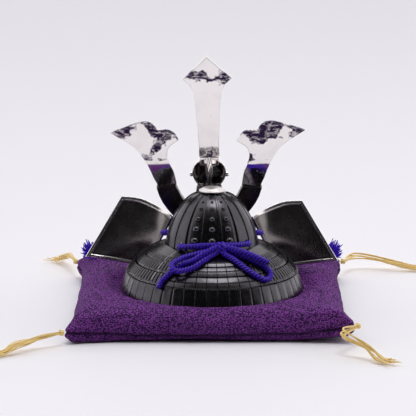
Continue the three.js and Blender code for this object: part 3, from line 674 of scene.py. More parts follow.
# Neck guard: angles in degrees from the back, edges as (radius, height), bead rows as (share down the tier, lean)
guard = {"halfArc": 131, "wall": 0.0009, "crown": 0.0003, "lap": 0.001, "step": 0.625, "strip": 3.125,
         "lacedHalf": 0.23, "plate": 7.5, "lace": 0.00034, "slit": 0.0003, "channel": 0.00025,
         "lineAt": (1.19, 3.69), "plain": 33, "collar": (0.0187, 0.0186), "beadPitch": 1.25, "beadLean": 38,
         "edges": [(0.02342, 0.01659), (0.02647, 0.01481), (0.03021, 0.01161), (0.03414, 0.0074), (0.0368, 0.0)],
         "beadRows": {"neck_guard_lame_1": [(0.56, 1)], "neck_guard_lame_2": [(0.56, 1)],
                      "neck_guard_lame_3": [(0.56, 1), (0.99, 0.15)]}}
tierRows = [0, 0.1, 0.2, 0.3, 0.4, 0.5, 0.56, 0.62, 0.7, 0.8, 0.9, 1]


def sloped(start, end, share, lift=0.0):
    # A point at a share of the way down a tier's section, lifted off it
    along = Vector((end[0] - start[0], end[1] - start[1]))
    out = Vector((-along.y, along.x)).normalized()
    if out.y < 0:
        out.negate()
    return (start[0] + along.x * share + out.x * lift, start[1] + along.y * share + out.y * lift)


def markShadedRecesses(piece, start, end):
    # An attribute that is 1 in the slots and channels of a tier and 0 on its plates, where black_metal paints its
    # near-black recess colour as painted shade
    along = Vector(end) - Vector(start)
    out = Vector((-along.y, along.x)).normalized()
    out = out if out.y > 0 else -out
    for vertex, mark in zip(piece.data.vertices, markings(piece, "recess")):
        gone = Vector((math.hypot(vertex.co.x, vertex.co.y) - start[0], vertex.co.z - start[1]))
        share = gone.dot(along) / along.length_squared
        lift = gone.dot(out) - guard["crown"] * math.sin(math.pi * min(max(share, 0), 1))
        laced = 0.07 < share < 0.79 and abs(bearing(vertex.co)) > guard["plain"]
        mark.value = 1.0 if 0.07 < share < 1 and lift < (0.00012 if laced else -0.00008) else 0.0


def laceBead():
    # One short twist of the cast cord
    fresh()
    bpy.ops.mesh.primitive_uv_sphere_add(segments=8, ring_count=6, radius=1)
    piece = named("bead")
    editing(piece, faces=lambda face: abs(face.calc_center_median().z) > 0.6)
    bpy.ops.transform.resize(value=(0.7, 0.7, 1.25), center_override=(0, 0, 0))
    closeEdit()
    piece.data.transform(Matrix.Diagonal((0.00018, 0.0003, 0.00042, 1)))
    return piece


def makeLame(name, start, end, above, replaced):
    # One tier: a laced field under the tier above, a corded line, and a strip of plain plates
    top = [sloped(start, end, share, guard["crown"] * math.sin(math.pi * share)) for share in tierRows]
    if above:
        under = Vector(above) - Vector(start)
        lap = Vector(start) + under.normalized() * guard["lap"]
        away = Vector((under.y, -under.x)).normalized() * (guard["wall"] + 0.0006)
        top[0] = tuple(Vector(start) - (away if away.y > 0 else -away) * 0.75)
        top.insert(0, tuple(lap - (away if away.y > 0 else -away)))
    else:
        top = [guard["collar"], sloped(guard["collar"], start, 0.5, 0.0002), *top]
    below = [sloped(top[-2], top[-1], 1, -guard["wall"]), sloped(top[0], top[1], 0, -guard["wall"])]
    steps = round(guard["halfArc"] * 2 / guard["step"])
    piece = spunSection(name, [*top, *below], steps, -guard["halfArc"], guard["halfArc"] * 2)

    def shareOf(face):
        centre = face.calc_center_median()
        if face.normal.z < 0.15:
            return -1, 0
        along = Vector((end[0] - start[0], end[1] - start[1]))
        radius = math.hypot(centre.x, centre.y)
        gone = Vector((radius - start[0], centre.z - start[1]))
        return gone.dot(along) / along.length_squared, bearing(centre)

    def laced(face):
        share, angle = shareOf(face)
        return (0.08 < share < 0.78 and abs(angle) > guard["plain"]
                and nearLine(angle, guard["lineAt"][0], guard["strip"], guard["strip"] * guard["lacedHalf"]))

    def slit(face):
        share, angle = shareOf(face)
        plain = abs(angle) < guard["plain"]
        field = (0.62 if plain else 0.8) < share < 0.99 or (0.12 < share < 0.5 and plain)
        return field and nearLine(angle, guard["lineAt"][1], guard["plate"], guard["step"] * 0.45)

    def channel(face):
        share, angle = shareOf(face)
        return 0.5 < share < 0.62 and abs(angle) < guard["plain"]

    raised(piece, laced, guard["lace"])
    raised(piece, channel, -guard["channel"])
    raised(piece, slit, -guard["slit"])
    beveled(piece, 0.00006, 1, 50)
    markShadedRecesses(piece, start, end)
    bead = laceBead()
    beads = []
    count = round(guard["halfArc"] * 2 / guard["beadPitch"]) - 2
    slope = math.atan2(end[0] - start[0], start[1] - end[1])
    for i in range(count):
        angle = -guard["halfArc"] + (i + 1.5) * guard["beadPitch"]
        for share, lean in guard["beadRows"][replaced]:
            if share < 0.9 and abs(angle) > guard["plain"]:
                continue
            radius, height = sloped(start, end, share, 0.0001)
            spot = around(radius, angle, height)
            turn = (Matrix.Rotation(math.radians(angle), 4, "Z") @ Matrix.Rotation(-slope, 4, "X")
                    @ Matrix.Rotation(math.radians(guard["beadLean"] * lean), 4, "Y"))
            beads.append(copied(bead, "bead", Matrix.Translation(spot) @ turn))
    bpy.data.objects.remove(bead)
    piece = joined(name, [piece, *beads])
    finished(piece, helmetFrame, 34, blackMetal, "black_metal", replaced)


# The lowest band: single plates before a plain lining, given as (share down the band, distance off it)
skirt = {"lining": [(-0.08, -0.00075), (0.97, -0.00075), (0.97, -0.00125), (-0.08, -0.00125)], "steps": 131,
         "gap": 0.00022, "lessHigh": 0.0002, "corner": 0.0004, "bevel": 0.0001, "turn": 2.2, "lean": (-1.0, 0.6),
         "seed": 5}


def makeSkirt():
    top, foot = guard["edges"][3], guard["edges"][4]
    backing = [sloped(top, foot, share, lift) for share, lift in skirt["lining"]]
    lining = spunSection("skirt_lining", backing, skirt["steps"], -guard["halfArc"], guard["halfArc"] * 2)
    width = math.radians(guard["plate"]) * foot[0] - skirt["gap"]
    height = math.hypot(foot[0] - top[0], foot[1] - top[1]) - skirt["lessHigh"]
    fresh()
    bpy.ops.mesh.primitive_cube_add(size=1)
    model = named("skirt_plate")
    model.data.transform(Matrix.Diagonal((width, guard["wall"], height, 1)))
    editing(model, faces=lambda face: face.normal.z > 0.9)
    bpy.ops.transform.resize(value=(top[0] / foot[0], 1, 1), center_override=(0, 0, height / 2))
    closeEdit()
    editing(model, edges=lambda edge: all(vertex.co.z < 0 for vertex in edge.verts)
            and abs(edge.verts[0].co.x - edge.verts[1].co.x) < 1e-6)
    bpy.ops.mesh.bevel(offset=skirt["corner"], segments=3, affect="EDGES")
    closeEdit()
    editing(model, faces=lambda face: face.normal.y < -0.9)
    bpy.ops.mesh.inset(thickness=0.0003, depth=0.00008)
    bpy.ops.mesh.inset(thickness=0.0006, depth=-0.00006)
    closeEdit()
    beveled(model, skirt["bevel"], 2, 40)
    chance = random.Random(skirt["seed"])
    slope = math.atan2(foot[0] - top[0], top[1] - foot[1])
    middle = sloped(top, foot, 0.5, -guard["wall"] / 2)
    plates = []
    count = round(guard["halfArc"] * 2 / guard["plate"])
    pitch = guard["halfArc"] * 2 / count
    for i in range(count):
        angle = -guard["halfArc"] + (i + 0.5) * pitch
        turn = (Matrix.Rotation(math.radians(angle + chance.uniform(-skirt["turn"], skirt["turn"])), 4, "Z")
                @ Matrix.Rotation(-slope + math.radians(chance.uniform(*skirt["lean"])), 4, "X"))
        plates.append(copied(model, "plate", Matrix.Translation(around(middle[0], angle, middle[1])) @ turn))
    bpy.data.objects.remove(model)
    piece = joined("skirt_plates", [lining, *plates])
    finished(piece, helmetFrame, 34, blackMetal, "black_metal", "neck_guard_skirt")


edges = guard["edges"]
makeLame("guard_tier_upper", edges[0], edges[1], None, "neck_guard_lame_1")
makeLame("guard_tier_middle", edges[1], edges[2], edges[0], "neck_guard_lame_2")
makeLame("guard_tier_lower", edges[2], edges[3], edges[1], "neck_guard_lame_3")
makeSkirt()
print("stage: neck guard")

# Wings: points of the upper and lower sides as shares of reach, depth and top
wing = {"reach": 0.0517, "depth": 0.026, "top": 0.0311, "rise": {-1: 0.0008, 1: -0.001}, "wall": 0.0012,
        "rootTop": 0.825, "rootFoot": 0.00186, "clear": 0.0003, "rim": 0.0011, "step": 0.0003, "recess": 0.0003,
        "columns": 30, "rows": 20, "crease": 0.0001, "creaseAt": 0.58, "creaseHalf": 0.42, "bevel": 0.00028,
        "fieldShade": 0.8}
wingTops = [(0.335, 0.71, 0.842), (0.39, 0.845, 0.875), (0.463, 0.935, 0.926), (0.572, 1.0, 0.984),
            (0.714, 1.02, 1.0)]
wingFeet = [(0.56, 0.97, 0.08), (0.62, 0.93, 0.12), (0.71, 0.87, 0.15), (0.84, 0.81, 0.19), (1.0, 0.75, 0.235)]


def rimmed(length, count, both):
    # Shares along a side: a narrow rim at its end, or at both ends, and even steps between
    rim, step = wing["rim"] / length, wing["step"] / length
    low = [0, rim, rim + step] if both else [0]
    high = [1 - rim - step, 1 - rim, 1]
    inner = [low[-1] + (high[0] - low[-1]) * i / count for i in range(1, count)]
    return [*low, *inner, *high]


def pointsAt(line, shares):
    # The points at the given shares of a line's length
    total, gone, marks = lengthOf(line), 0.0, []
    for a, b in zip(line, line[1:]):
        step = (b - a).length
        while len(marks) < len(shares) and gone + step >= total * shares[len(marks)] - 1e-9:
            marks.append(a.lerp(b, max(0.0, total * shares[len(marks)] - gone) / step))
        gone += step
    while len(marks) < len(shares):
        marks.append(line[-1].copy())
    return marks


def makeWing(name, side, replaced):
    turn = math.radians(guard["halfArc"])
    ahead = Vector((math.cos(turn), math.sin(turn), 0)) * (wing["wall"] / 2 + wing["clear"])
    size = Vector((wing["reach"], wing["depth"], wing["top"]))
    tops = [around(bowl["radius"] * 1.2, guard["halfArc"], wing["rootTop"] * wing["top"]) + ahead,
            *(Vector(share) * size for share in wingTops)]
    feet = [around(guard["edges"][-1][0], guard["halfArc"], wing["rootFoot"]) + ahead,
            *(Vector(share) * size for share in wingFeet)]
    for marks in (tops, feet):
        for i, mark in enumerate(marks):
            mark.z += wing["rise"][side] * i / 5
    upper, lower = (lineThrough(marks, 0.0005) for marks in (tops, feet))
    across = rimmed(lengthOf(upper), wing["columns"], False)
    down = rimmed((tops[3] - feet[3]).length, wing["rows"], True)
    upper, lower = (pointsAt(line, across) for line in (upper, lower))
    fresh()
    bpy.ops.mesh.primitive_grid_add(x_subdivisions=len(across) - 1, y_subdivisions=len(down) - 1, size=1)
    piece = named(name)
    for vertex, mark in zip(piece.data.vertices, markings(piece, "recess")):
        i = round((vertex.co.x + 0.5) * (len(across) - 1))
        j = round((0.5 - vertex.co.y) * (len(down) - 1))
        place = upper[i].lerp(lower[i], down[j])
        bend = max(0.0, 1 - abs(down[j] - wing["creaseAt"]) / wing["creaseHalf"])
        inside = 1 < j < len(down) - 2 and i < len(across) - 2
        # Painted dark reflection: the recessed field inside the rim takes most of the dark hollow colour, the rim
        # stays bright
        mark.value = wing["fieldShade"] if inside else 0.0
        place.y += (wing["recess"] if inside else 0) - wing["crease"] * bend * min(1, i / 8)
        vertex.co = Vector((place.x * side, place.y, place.z))
    applied(piece, "SOLIDIFY", thickness=wing["wall"], offset=0)
    cleaned(piece)
    beveled(piece, wing["bevel"], 3, 40)
    finished(piece, helmetFrame, 34, wingSilver, "silver", replaced)


makeWing("wing_plate_left", -1, "wing_left")
makeWing("wing_plate_right", 1, "wing_right")
print("stage: wings")

# Front plates: drawn flat as x across and height up the leaning plane
horn = {"spread": 0.0392, "top": 0.0678, "wall": 0.0012, "bevel": 0.00016, "turn": 1.8, "socket": 0.6,
        "tang": 0.0035, "tangFrom": 0.01435, "tangTo": 0.01995, "pivot": 0.455, "slices": 14,
        "bendFoot": -0.026, "bendTop": 0.047, "bendFrom": 0.049}
hornOutline = [
    (0.54, 0.6), (0.574, 0.643), (0.612, 0.703), (0.65, 0.75), (0.694, 0.794), (0.755, 0.841), (0.829, 0.876),
    (0.913, 0.907), (1, 0.939), (0.916, 0.957), (0.832, 0.974), (0.75, 0.99), (0.679, 1), (0.617, 1), (0.569, 0.99),
    (0.533, 0.969), (0.51, 0.946), (0.474, 0.945), (0.423, 0.948), (0.372, 0.939), (0.329, 0.916), (0.298, 0.882),
    (0.355, 0.861), (0.398, 0.84), (0.418, 0.812), (0.421, 0.774), (0.395, 0.727), (0.36, 0.678), (0.335, 0.6),
]
hornCorners = (8, 21)
holder = {"reach": 0.0214, "top": 0.04034, "foot": 0.0193, "footHalf": 0.24, "wall": 0.003, "bevel": 0.00025,
          "brightFoot": 0.004, "footShade": 0.6}
holderOutline = [
    (0.4, 0.53), (0.56, 0.592), (0.71, 0.672), (0.8, 0.736), (0.885, 0.806), (0.95, 0.882), (1, 0.972), (0.64, 1),
    (0.59, 0.945), (0.53, 0.875), (0.45, 0.81), (0.34, 0.762), (0.22, 0.75),
]
sword = {"foot": 0.05295, "length": 0.0434, "half": 0.0097, "wall": 0.0012, "bevel": 0.00016, "turn": 1.45,
         "tangHalf": 0.0026, "tang": 0.0024}
swordOutline = [(0.42, 0), (0.415, 0.11), (0.455, 0.3), (0.51, 0.52), (0.546, 0.595), (0.577, 0.645), (0.72, 0.725),
                (1, 0.78)]


def plateFrom(name, points, wall, bevel):
    # A flat plate: a filled ring shaped to the outline, extruded to its wall and bevelled
    fresh()
    bpy.ops.mesh.primitive_circle_add(vertices=len(points), radius=0.01, fill_type="NGON")
    piece = named(name)
    for vertex, (x, high) in zip(piece.data.vertices, points):
        vertex.co = Vector((x, -wall / 2, high))
    editAll(piece)
    bpy.ops.mesh.extrude_region_move(TRANSFORM_OT_translate={"value": (0, wall, 0)})
    closeEdit()
    cleaned(piece)
    beveled(piece, bevel, 3, 50)
    return piece


def sliced(piece, low, high, count):
    # Cuts a flat plate across at even heights, so that it can bend
    for i in range(count + 1):
        editAll(piece)
        bpy.ops.mesh.bisect(plane_co=(0, 0, low + (high - low) * i / count), plane_no=(0, 0, 1))
        closeEdit()


def bentBack(height, foot):
    # The plate leans a little more at its foot and less at its top
    turned = horn["bendFrom"] - foot
    first = min(max(height - foot, 0), turned) * horn["bendFoot"]
    return first + max(height - horn["bendFrom"], 0) * horn["bendTop"]


def softOutline(shares, corners, spread, top, spacing):
    # Smooth line through the outline, broken only at its corners
    marks = [Vector((x * spread, 0, z * top)) for x, z in shares]
    line, last = [], 0
    for corner in (*corners, len(marks) - 1):
        line.extend(lineThrough(marks[last:corner + 1], spacing)[:-1])
        last = corner
    line.append(marks[-1])
    return [(point.x, point.z) for point in line]


def stood(piece, foot, turn, material, replaced):
    # Turns a front plate about its foot, and leans it back with the others
    turned = Matrix.Rotation(math.radians(-turn), 4, "Y")
    piece.data.transform(Matrix.Translation(foot) @ turned @ Matrix.Translation(-foot))
    finished(piece, leaningFrame, 12, material, "silver", replaced)


def makeHorn(name, side, replaced):
    socket = horn["top"] * horn["socket"]
    points = softOutline(hornOutline, hornCorners, horn["spread"], horn["top"], 0.0007)
    points = [(horn["tangTo"], socket - horn["tang"]), *points, (horn["tangFrom"], socket - horn["tang"])]
    piece = plateFrom(name, [(side * x, high) for x, high in points], horn["wall"], horn["bevel"])
    sliced(piece, socket + 0.001, horn["top"] - 0.004, horn["slices"])
    for vertex in piece.data.vertices:
        vertex.co.y += bentBack(vertex.co.z, socket)
    foot = Vector((side * horn["spread"] * horn["pivot"], 0, socket))
    stood(piece, foot, horn["turn"], hornSilver, replaced)


def makeSword():
    right = [(x * sword["half"], sword["foot"] + z * sword["length"]) for x, z in swordOutline]
    tip = (0, sword["foot"] + sword["length"])
    left = [(-x, z) for x, z in reversed(right)]
    low, half = sword["foot"] - sword["tang"], sword["tangHalf"]
    tang = [(-half, low), (half, low), (half, right[0][1])]
    points = [*tang, *right, tip, *left, (-half, right[0][1])]
    piece = plateFrom("sword_blade", points, sword["wall"], sword["bevel"])
    stood(piece, Vector((0, 0, sword["foot"])), sword["turn"], swordSilver, "crest_sword")


def refined(name, source, bevel, material, slot):
    # A finer copy of a plain CAD piece: its flats joined up, its edges rounded
    piece = looseCopy(source, name)
    editAll(piece)
    bpy.ops.mesh.dissolve_limited(angle_limit=math.radians(3))
    closeEdit()
    beveled(piece, bevel, 3, 25)
    smoothed(piece, 40)
    return dressed(piece, material, slot, source)


def makeHolder():
    right = [(x * holder["reach"], high * holder["top"]) for x, high in holderOutline]
    stem = [(right[-1][0], boss["foot"] - 0.0003)]
    points = [(holder["reach"] * holder["footHalf"], holder["foot"]), *right, *stem]
    points = [*points, *((-x, high) for x, high in reversed(points))]
    piece = plateFrom("holder_plate", points, holder["wall"], holder["bevel"])
    # Painted dark reflection: the plate takes the dark hollow colour, only part of it on its lowest band
    for vertex, mark in zip(piece.data.vertices, markings(piece, "recess")):
        mark.value = 1.0 if vertex.co.z > holder["foot"] + holder["brightFoot"] else holder["footShade"]
    finished(piece, leaningFrame, 12, shadedSilver, "silver", "horn_holder")


# Boss; its hollows are insets as (inwards, deep), and its feet are drawn as (x, share of tall under the middle)
boss = {"middle": 0.0456, "foot": 0.03655, "half": 0.007, "tall": 0.0072, "deep": 0.0055, "back": 0.0012,
        "pinch": 0.1, "ridge": 0.00055, "ridgeSlope": 0.05, "bevel": 0.0001, "nub": 0.001, "nubLow": 0.12,
        "hollows": [(0.00045, 0), (0.0002, -0.0009), (0.0009, -0.0006)],
        "feet": [(0.0008, 0.72), (0.0046, 0.6), (0.0052, 0.85)], "footWall": 0.0016, "footBevel": 0.0002,
        "lug": (0.0078, 0.0026, 0.5), "lugHigh": 0.74}


def makeBoss():
    # Two hollows, painted dark as shade, side by side in a bright rim, with a ridge between them, nubs at the sides
    # and two feet
    middle, half, tall, back, ridge = (boss[key] for key in ("middle", "half", "tall", "back", "ridge"))
    fresh()
    bpy.ops.mesh.primitive_uv_sphere_add(segments=56, ring_count=36, radius=1)
    piece = named("crest_boss_shell")
    piece.data.transform(Matrix.Translation((0, 0, middle)) @ Matrix.Diagonal((half, boss["deep"], tall, 1)))
    for vertex in piece.data.vertices:
        vertex.co.x *= 1 - boss["pinch"] * max(0, (middle - vertex.co.z) / tall)
    editAll(piece)
    bpy.ops.mesh.bisect(plane_co=(0, -back, 0), plane_no=(0, 1, 0), clear_inner=True, use_fill=True)
    for side in (-1, 1):
        bpy.ops.mesh.select_all(action="SELECT")
        bpy.ops.mesh.bisect(plane_co=(side * ridge, 0, middle), plane_no=(1, 0, -side * boss["ridgeSlope"]))
    closeEdit()

    def hollow(face):
        centre = face.calc_center_median()
        return face.normal.y < -0.95 and centre.y < 0.0001 - back and abs(centre.x) > ridge * 1.5

    editing(piece, faces=hollow)
    for inwards, deep in boss["hollows"]:
        bpy.ops.mesh.inset(thickness=inwards, depth=deep, use_individual=True, use_even_offset=False)
    closeEdit()
    beveled(piece, boss["bevel"], 2, 40)
    # Painted shade: the points inside the hollows are marked for the silver's dark hollow colour
    for vertex, mark in zip(piece.data.vertices, markings(piece, "recess")):
        spot = vertex.co
        inside = (spot.x / half) ** 2 + ((spot.z - middle) / tall) ** 2 < 0.8
        mark.value = 1.0 if inside and 0.00025 - back < spot.y < 0.001 else 0.0
    parts = [piece]
    for side in (-1, 1):
        fresh()
        bpy.ops.mesh.primitive_uv_sphere_add(segments=20, ring_count=14, radius=boss["nub"])
        nub = named("nub")
        nub.data.transform(Matrix.Translation((side * (half + 0.0002), 0.0001, middle - tall * boss["nubLow"])))
        parts.append(nub)
        points = [(x, middle - tall * share) for x, share in boss["feet"]]
        points += [(0.0054, boss["foot"] + 0.0006), (0.0052, boss["foot"]), (0.0008, boss["foot"])]
        parts.append(plateFrom("foot", [(side * x, high) for x, high in points], boss["footWall"], boss["footBevel"]))
    fresh()
    bpy.ops.mesh.primitive_cube_add(size=1)
    lug = named("lug")
    wide, thick, high = boss["lug"]
    lug.data.transform(Matrix.Translation((0, 0.0002, middle + tall * boss["lugHigh"]))
                       @ Matrix.Diagonal((wide, thick, tall * high, 1)))
    editAll(lug)
    bpy.ops.mesh.subdivide(number_cuts=2)
    bpy.ops.mesh.bevel(offset=0.0002, segments=2, affect="EDGES")
    closeEdit()
    parts.append(lug)
    piece = joined("crest_boss_shell", parts)
    finished(piece, leaningFrame, 34, silver, "silver", "crest_boss")


makeHorn("horn_plate_left", -1, "horn_left")
makeHorn("horn_plate_right", 1, "horn_right")
makeSword()
makeBoss()
makeHolder()
refined("visor_peak", "visor", 0.0002, blackMetal, "black_metal")
print("stage: front plates")

# Cushion
cushion = {"half": 0.055, "corners": {(-1, -1): 0.0045, (1, -1): 0.0072, (1, 1): 0.006, (-1, 1): 0.006},
           "voxel": 0.003, "pressure": 4.0, "frames": 14, "stretch": 25, "bend": 0.6, "cap": 0.0012, "fill": 0.75,
           "rim": guard["edges"][-1][0], "dish": 0.003, "cornerHigh": 0.005, "cornerReach": 0.026, "point": 0.0019,
           "swell": 0.0012, "fold": 0.0005, "folds": 13, "wave": 0.0005, "ripple": 0.00022,
           "seam": 0.0022, "seamStray": 0.0006, "seamHalf": 0.00055, "seamDeep": 0.0007}
# lit and deep are painted light and shade on the crepe's pebbles, and seam is painted shade in the seam's crease
crepe = {"lit": (0.3, 0.07, 0.42), "deep": (0.03, 0.004, 0.06), "seam": (0.012, 0.002, 0.025), "pebble": 1650.0,
         "stretch": (0.85, 0.6, 1.35), "relief": 0.00045, "roughness": 0.85, "shine": 0.2}


def crepeMaterial():
    material, tree, shade = shader("purple_crepe")
    cells = node(tree, "ShaderNodeTexVoronoi", Scale=crepe["pebble"], Randomness=0.8)
    pebble = given(cells, {"Vector": objectPlace(tree, crepe["stretch"])}).outputs["Distance"]
    # Painted light and shade: the lit colour on the pebble tops, the deep colour in the hollows between them
    color = ramp(tree, pebble, (0.2, crepe["lit"]), (0.62, crepe["deep"]))
    tone = ramp(tree, objectNoise(tree, 45, 3), (0.3, (0.86, 0.86, 0.88)), (0.7, (1.1, 1.1, 1.08)))
    shift = mixed(tree, color, tone, kind="MULTIPLY")
    grain = bumped(tree, reckoned(tree, "SUBTRACT", 1, pebble), 1.0, crepe["relief"])
    # Painted shade: the near-black seam colour along the seam's sunk crease
    given(shade, {"Base Color": mixed(tree, shift, crepe["seam"], marked(tree, "seam")),
                  "Roughness": crepe["roughness"], "Specular IOR Level": crepe["shine"],
                  "Normal": bumped(tree, objectNoise(tree, 2600, 4), 0.3, 0.0001, grain)})
    return material


def finishCushion(piece):
    # Corners drawn up, folds running in from them, a low wavy surface and the seam round the sides
    middle = Vector(helmetPlace["centre"])
    normals = [vertex.normal.copy() for vertex in piece.data.vertices]
    for vertex, normal, mark in zip(piece.data.vertices, normals, markings(piece, "seam")):
        spot = vertex.co.copy()
        side = max(abs(spot.x), abs(spot.y))
        share = min(abs(spot.x), abs(spot.y)) / cushion["half"]
        away = math.hypot(spot.x - middle.x, spot.y - middle.y) - cushion["rim"]
        loose = max(0.0, min(1.0, away / 0.01))
        corner = (1 if spot.x > 0 else -1, 1 if spot.y > 0 else -1)
        gone = Vector((abs(spot.x) - cushion["half"], abs(spot.y) - cushion["half"]))
        near = max(0.0, 1 - gone.length / cushion["cornerReach"])
        edge = max(0.0, min(1.0, (side - 0.043) / 0.01))
        wave = noise.noise(Vector((spot.x * 60, spot.y * 60, 1.7))) * cushion["wave"] * loose
        wave += noise.noise(Vector((spot.x * 210, spot.y * 210, 5.1))) * cushion["ripple"] * edge
        turn = math.atan2(gone.y - 0.002, gone.x - 0.002)
        fold = math.sin(turn * cushion["folds"] + corner[0] * 2) * cushion["fold"]
        if spot.z > 0.0012:
            vertex.co += normal * (wave + fold * near * min(1.0, gone.length / 0.004))
        height = cushion["seam"] + (cushion["corners"][corner] - cushion["seam"]) * share ** 3
        height += noise.noise(Vector((spot.x * 90, spot.y * 90, 9.3))) * cushion["seamStray"]
        drawn = near * near * (3 - 2 * near)
        out = Vector((corner[0], 0, 0) if abs(spot.x) > abs(spot.y) else (0, corner[1], 0))
        vertex.co += out * (cushion["swell"] * edge * (1 - near))
        vertex.co += Vector((corner[0], corner[1], 0)) * cushion["point"] * drawn
        vertex.co.z += (cushion["corners"][corner] - cushion["cornerHigh"]) * drawn
        # The seam mark gives where the crease is sunk and painted with shade
        line = 0.0
        if side > 0.049 and abs(normal.z) < 0.93:
            line = math.exp(-((vertex.co.z - height) / cushion["seamHalf"]) ** 2)
        vertex.co -= normal * line * cushion["seamDeep"]
        vertex.co.z = max(vertex.co.z, 0)
        mark.value = line


def makeCushion(material):
    # Blown up a little as cloth, but held to a small change, and never up into the dish under the helmet
    piece = looseCopy("cushion", "cushion_cover")
    applied(piece, "REMESH", mode="VOXEL", voxel_size=cushion["voxel"])
    rest = [vertex.co.copy() for vertex in piece.data.vertices]
    makeActive(piece)
    cloth = piece.modifiers.new("cloth", "CLOTH")
    cloth.settings.use_pressure = True
    cloth.settings.uniform_pressure_force = cushion["pressure"]
    cloth.settings.effector_weights.gravity = 0
    cloth.settings.tension_stiffness = cushion["stretch"]
    cloth.settings.compression_stiffness = cushion["stretch"]
    cloth.settings.bending_stiffness = cushion["bend"]
    cloth.point_cache.frame_start = 1
    cloth.point_cache.frame_end = cushion["frames"]
    for moment in range(1, cushion["frames"] + 1):
        bpy.context.scene.frame_set(moment)
    bpy.ops.object.modifier_apply(modifier=cloth.name)
    bpy.context.scene.frame_set(1)
    middle = Vector(helmetPlace["centre"])
    for vertex, before in zip(piece.data.vertices, rest):
        move = vertex.co - before
        if move.length > cushion["cap"]:
            move = move.normalized() * cushion["cap"]
        place = before + move
        near = math.hypot(before.x - middle.x, before.y - middle.y)
        if near < cushion["rim"] + cushion["dish"] and before.z > 0.005:
            place.z = min(place.z, before.z)
        place.z = max(place.z, 0)
        vertex.co = place
    applied(piece, "SUBSURF", levels=2, render_levels=2)
    finishCushion(piece)
    smoothed(piece, 60)
    dressed(piece, material, "purple_crepe", "cushion")


purpleCrepe = crepeMaterial()
makeCushion(purpleCrepe)
print("stage: cushion")

# Corner tassels
tassel = {"strands": 4, "threads": 7, "thick": 0.00032, "lie": 0.0007, "knot": 0.0015, "knotOut": 0.0016,
          "wrap": 0.0009, "turns": 3.5, "light": (1.0, 0.8, 0.33), "dark": (0.92, 0.62, 0.17)}
# Number, corner, middle and ends, both as shares of half the cushion from its middle
tasselRows = [
    (1, (-1, -1), (1.127, 1.091), [(1.509, 1.273), (1.527, 1.364), (1.455, 1.436)]),
    (2, (1, -1), (0.909, 1.255), [(1.235, 1.47), (1.27, 1.56), (1.1, 1.61)]),
    (3, (1, 1), (1.145, 1.255), [(1.655, 1.127), (1.709, 1.218), (1.6, 1.327)]),
    (4, (-1, 1), (1.091, 1.291), [(1.2, 1.57), (1.26, 1.5), (1.13, 1.61)]),
]


def threadMaterial():
    material, tree, shade = shader("yellow_thread")
    strand = objectNoise(tree, 1500, 4, stretch=(1, 1, 3))
    given(shade, {"Base Color": ramp(tree, strand, (0.3, tassel["dark"]), (0.65, tassel["light"])),
                  "Roughness": 0.5, "Sheen Weight": 0.3, "Normal": bumped(tree, strand, 0.4, 0.0001)})
    return material


def makeTassel(number, corner, middle, ends, material):
    # A few soft strands from a small knot, each a bundle of loose threads
    chance = random.Random(20 + number)
    half = cushion["half"]
    out = half + tassel["knotOut"]
    knot = Vector((corner[0] * out, corner[1] * out, cushion["corners"][corner]))

    def placed(shares, height):
        return Vector((shares[0] * corner[0] * half, shares[1] * corner[1] * half, height))

    def strayed(point, reach, lift=None):
        return point + Vector([chance.gauss(0, spread) for spread in (reach, reach, reach if lift is None else lift)])

    lines = []
    for strand in range(tassel["strands"]):
        first, second = ((0, 1), (1, 2), (0, 2), (1, 1), (0, 0))[strand % 5]
        end = placed(ends[first], tassel["lie"]).lerp(placed(ends[second], tassel["lie"]), 0.45)
        arch = strayed(placed(middle, knot.z * 0.95), 0.0006)
        fall = strayed(arch.lerp(end, 0.5), 0.0011, 0.0003)
        fall.z = knot.z * 0.45 + tassel["lie"]
        late = strayed(arch.lerp(end, 0.8), 0.0012, 0)
        late.z = tassel["lie"] * 1.4
        for i in range(tassel["threads"]):
            tip = strayed(end + (end - late) * chance.uniform(-0.4, 0.25), 0.0009, 0)
            tip.z = tassel["lie"] * chance.uniform(0.5, 2.2)
            points = [strayed(knot, 0.0003), strayed(arch, 0.0002), strayed(fall, 0.0003),
                      strayed(late, 0.0004, 0.0002), tip]
            lines.append([Vector((p.x, p.y, max(p.z, tassel["thick"] * 0.6))) for p in lineThrough(points, 0.0012)])
    piece = tube("tassel_threads", lines, tassel["thick"])
    wraps = []
    for i in range(41):
        turn = math.tau * tassel["turns"] * i / 40
        level = 2 * i / 40 - 1
        ring = tassel["knot"] * 0.5 * math.sqrt(1 - 0.55 * level * level)
        wraps.append(knot + Vector((ring * math.cos(turn), ring * math.sin(turn), level * tassel["knot"] * 0.5)))
    knotPiece = tube("tassel_knot", [lineThrough(wraps, 0.0003)], tassel["wrap"], 12)
    piece = joined("tassel_" + str(number), [piece, knotPiece])
    dressed(piece, material, "yellow_thread", "corner_tassel_" + str(number))


yellowThread = threadMaterial()
for row in tasselRows:
    makeTassel(*row, yellowThread)
print("stage: tassels")

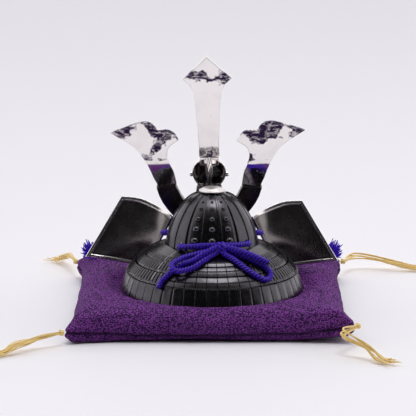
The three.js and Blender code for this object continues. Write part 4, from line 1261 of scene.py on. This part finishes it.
# Surroundings: a white table, white all round, and a dark room behind the camera that only the metal mirrors
room = {"white": 1.08, "dark": 0.022, "tint": (0.985, 0.972, 1.0), "darkFrom": 0.22, "darkTo": 0.52,
        "darkWay": (0.0, -0.998, 0.06)}
lamp = {"power": 2.4, "width": 0.45, "depth": 0.45, "place": (0.12, -0.1, 1.0)}
table = {"front": -0.225, "back": 3.2, "half": 2.6, "color": (0.93, 0.92, 0.95)}


def setRoom():
    world = bpy.data.worlds.new("room")
    bpy.context.scene.world = world
    world.use_nodes = True
    tree = world.node_tree
    place = node(tree, "ShaderNodeTexCoord").outputs["Generated"]
    facing = given(node(tree, "ShaderNodeVectorMath", operation="DOT_PRODUCT"), {0: place, 1: room["darkWay"]})
    light = ramp(tree, facing.outputs["Value"], (room["darkFrom"], room["tint"]),
                 (room["darkTo"], grey(room["dark"])), kind="EASE")
    seen = node(tree, "ShaderNodeLightPath").outputs["Is Camera Ray"]
    given(tree.nodes["Background"], {"Color": mixed(tree, light, room["tint"], seen), "Strength": room["white"]})


def makeTable():
    fresh()
    bpy.ops.mesh.primitive_plane_add(size=1)
    floor = named("table_top")
    floor.data.transform(Matrix.Translation((0, (table["front"] + table["back"]) / 2, -0.0005))
                         @ Matrix.Diagonal((table["half"] * 2, table["back"] - table["front"], 1, 1)))
    material, tree, shade = shader("table_white")
    grain = objectNoise(tree, 900, 5)
    tone = ramp(tree, grain, (0.3, [c * 0.985 for c in table["color"]]), (0.7, table["color"]))
    given(shade, {"Base Color": tone, "Roughness": 0.6, "Specular IOR Level": 0.15,
                  "Normal": bumped(tree, grain, 0.05, 0.0001)})
    floor.data.materials.append(material)


def setLamp():
    # A soft box overhead, which gives the metal its highlights
    data = bpy.data.lights.new("soft_box", "AREA")
    data.energy = lamp["power"]
    data.shape = "RECTANGLE"
    data.size = lamp["width"]
    data.size_y = lamp["depth"]
    light = bpy.data.objects.new("soft_box", data)
    light.location = lamp["place"]
    bpy.context.scene.collection.objects.link(light)


setRoom()
setLamp()
makeTable()
print("stage: room")
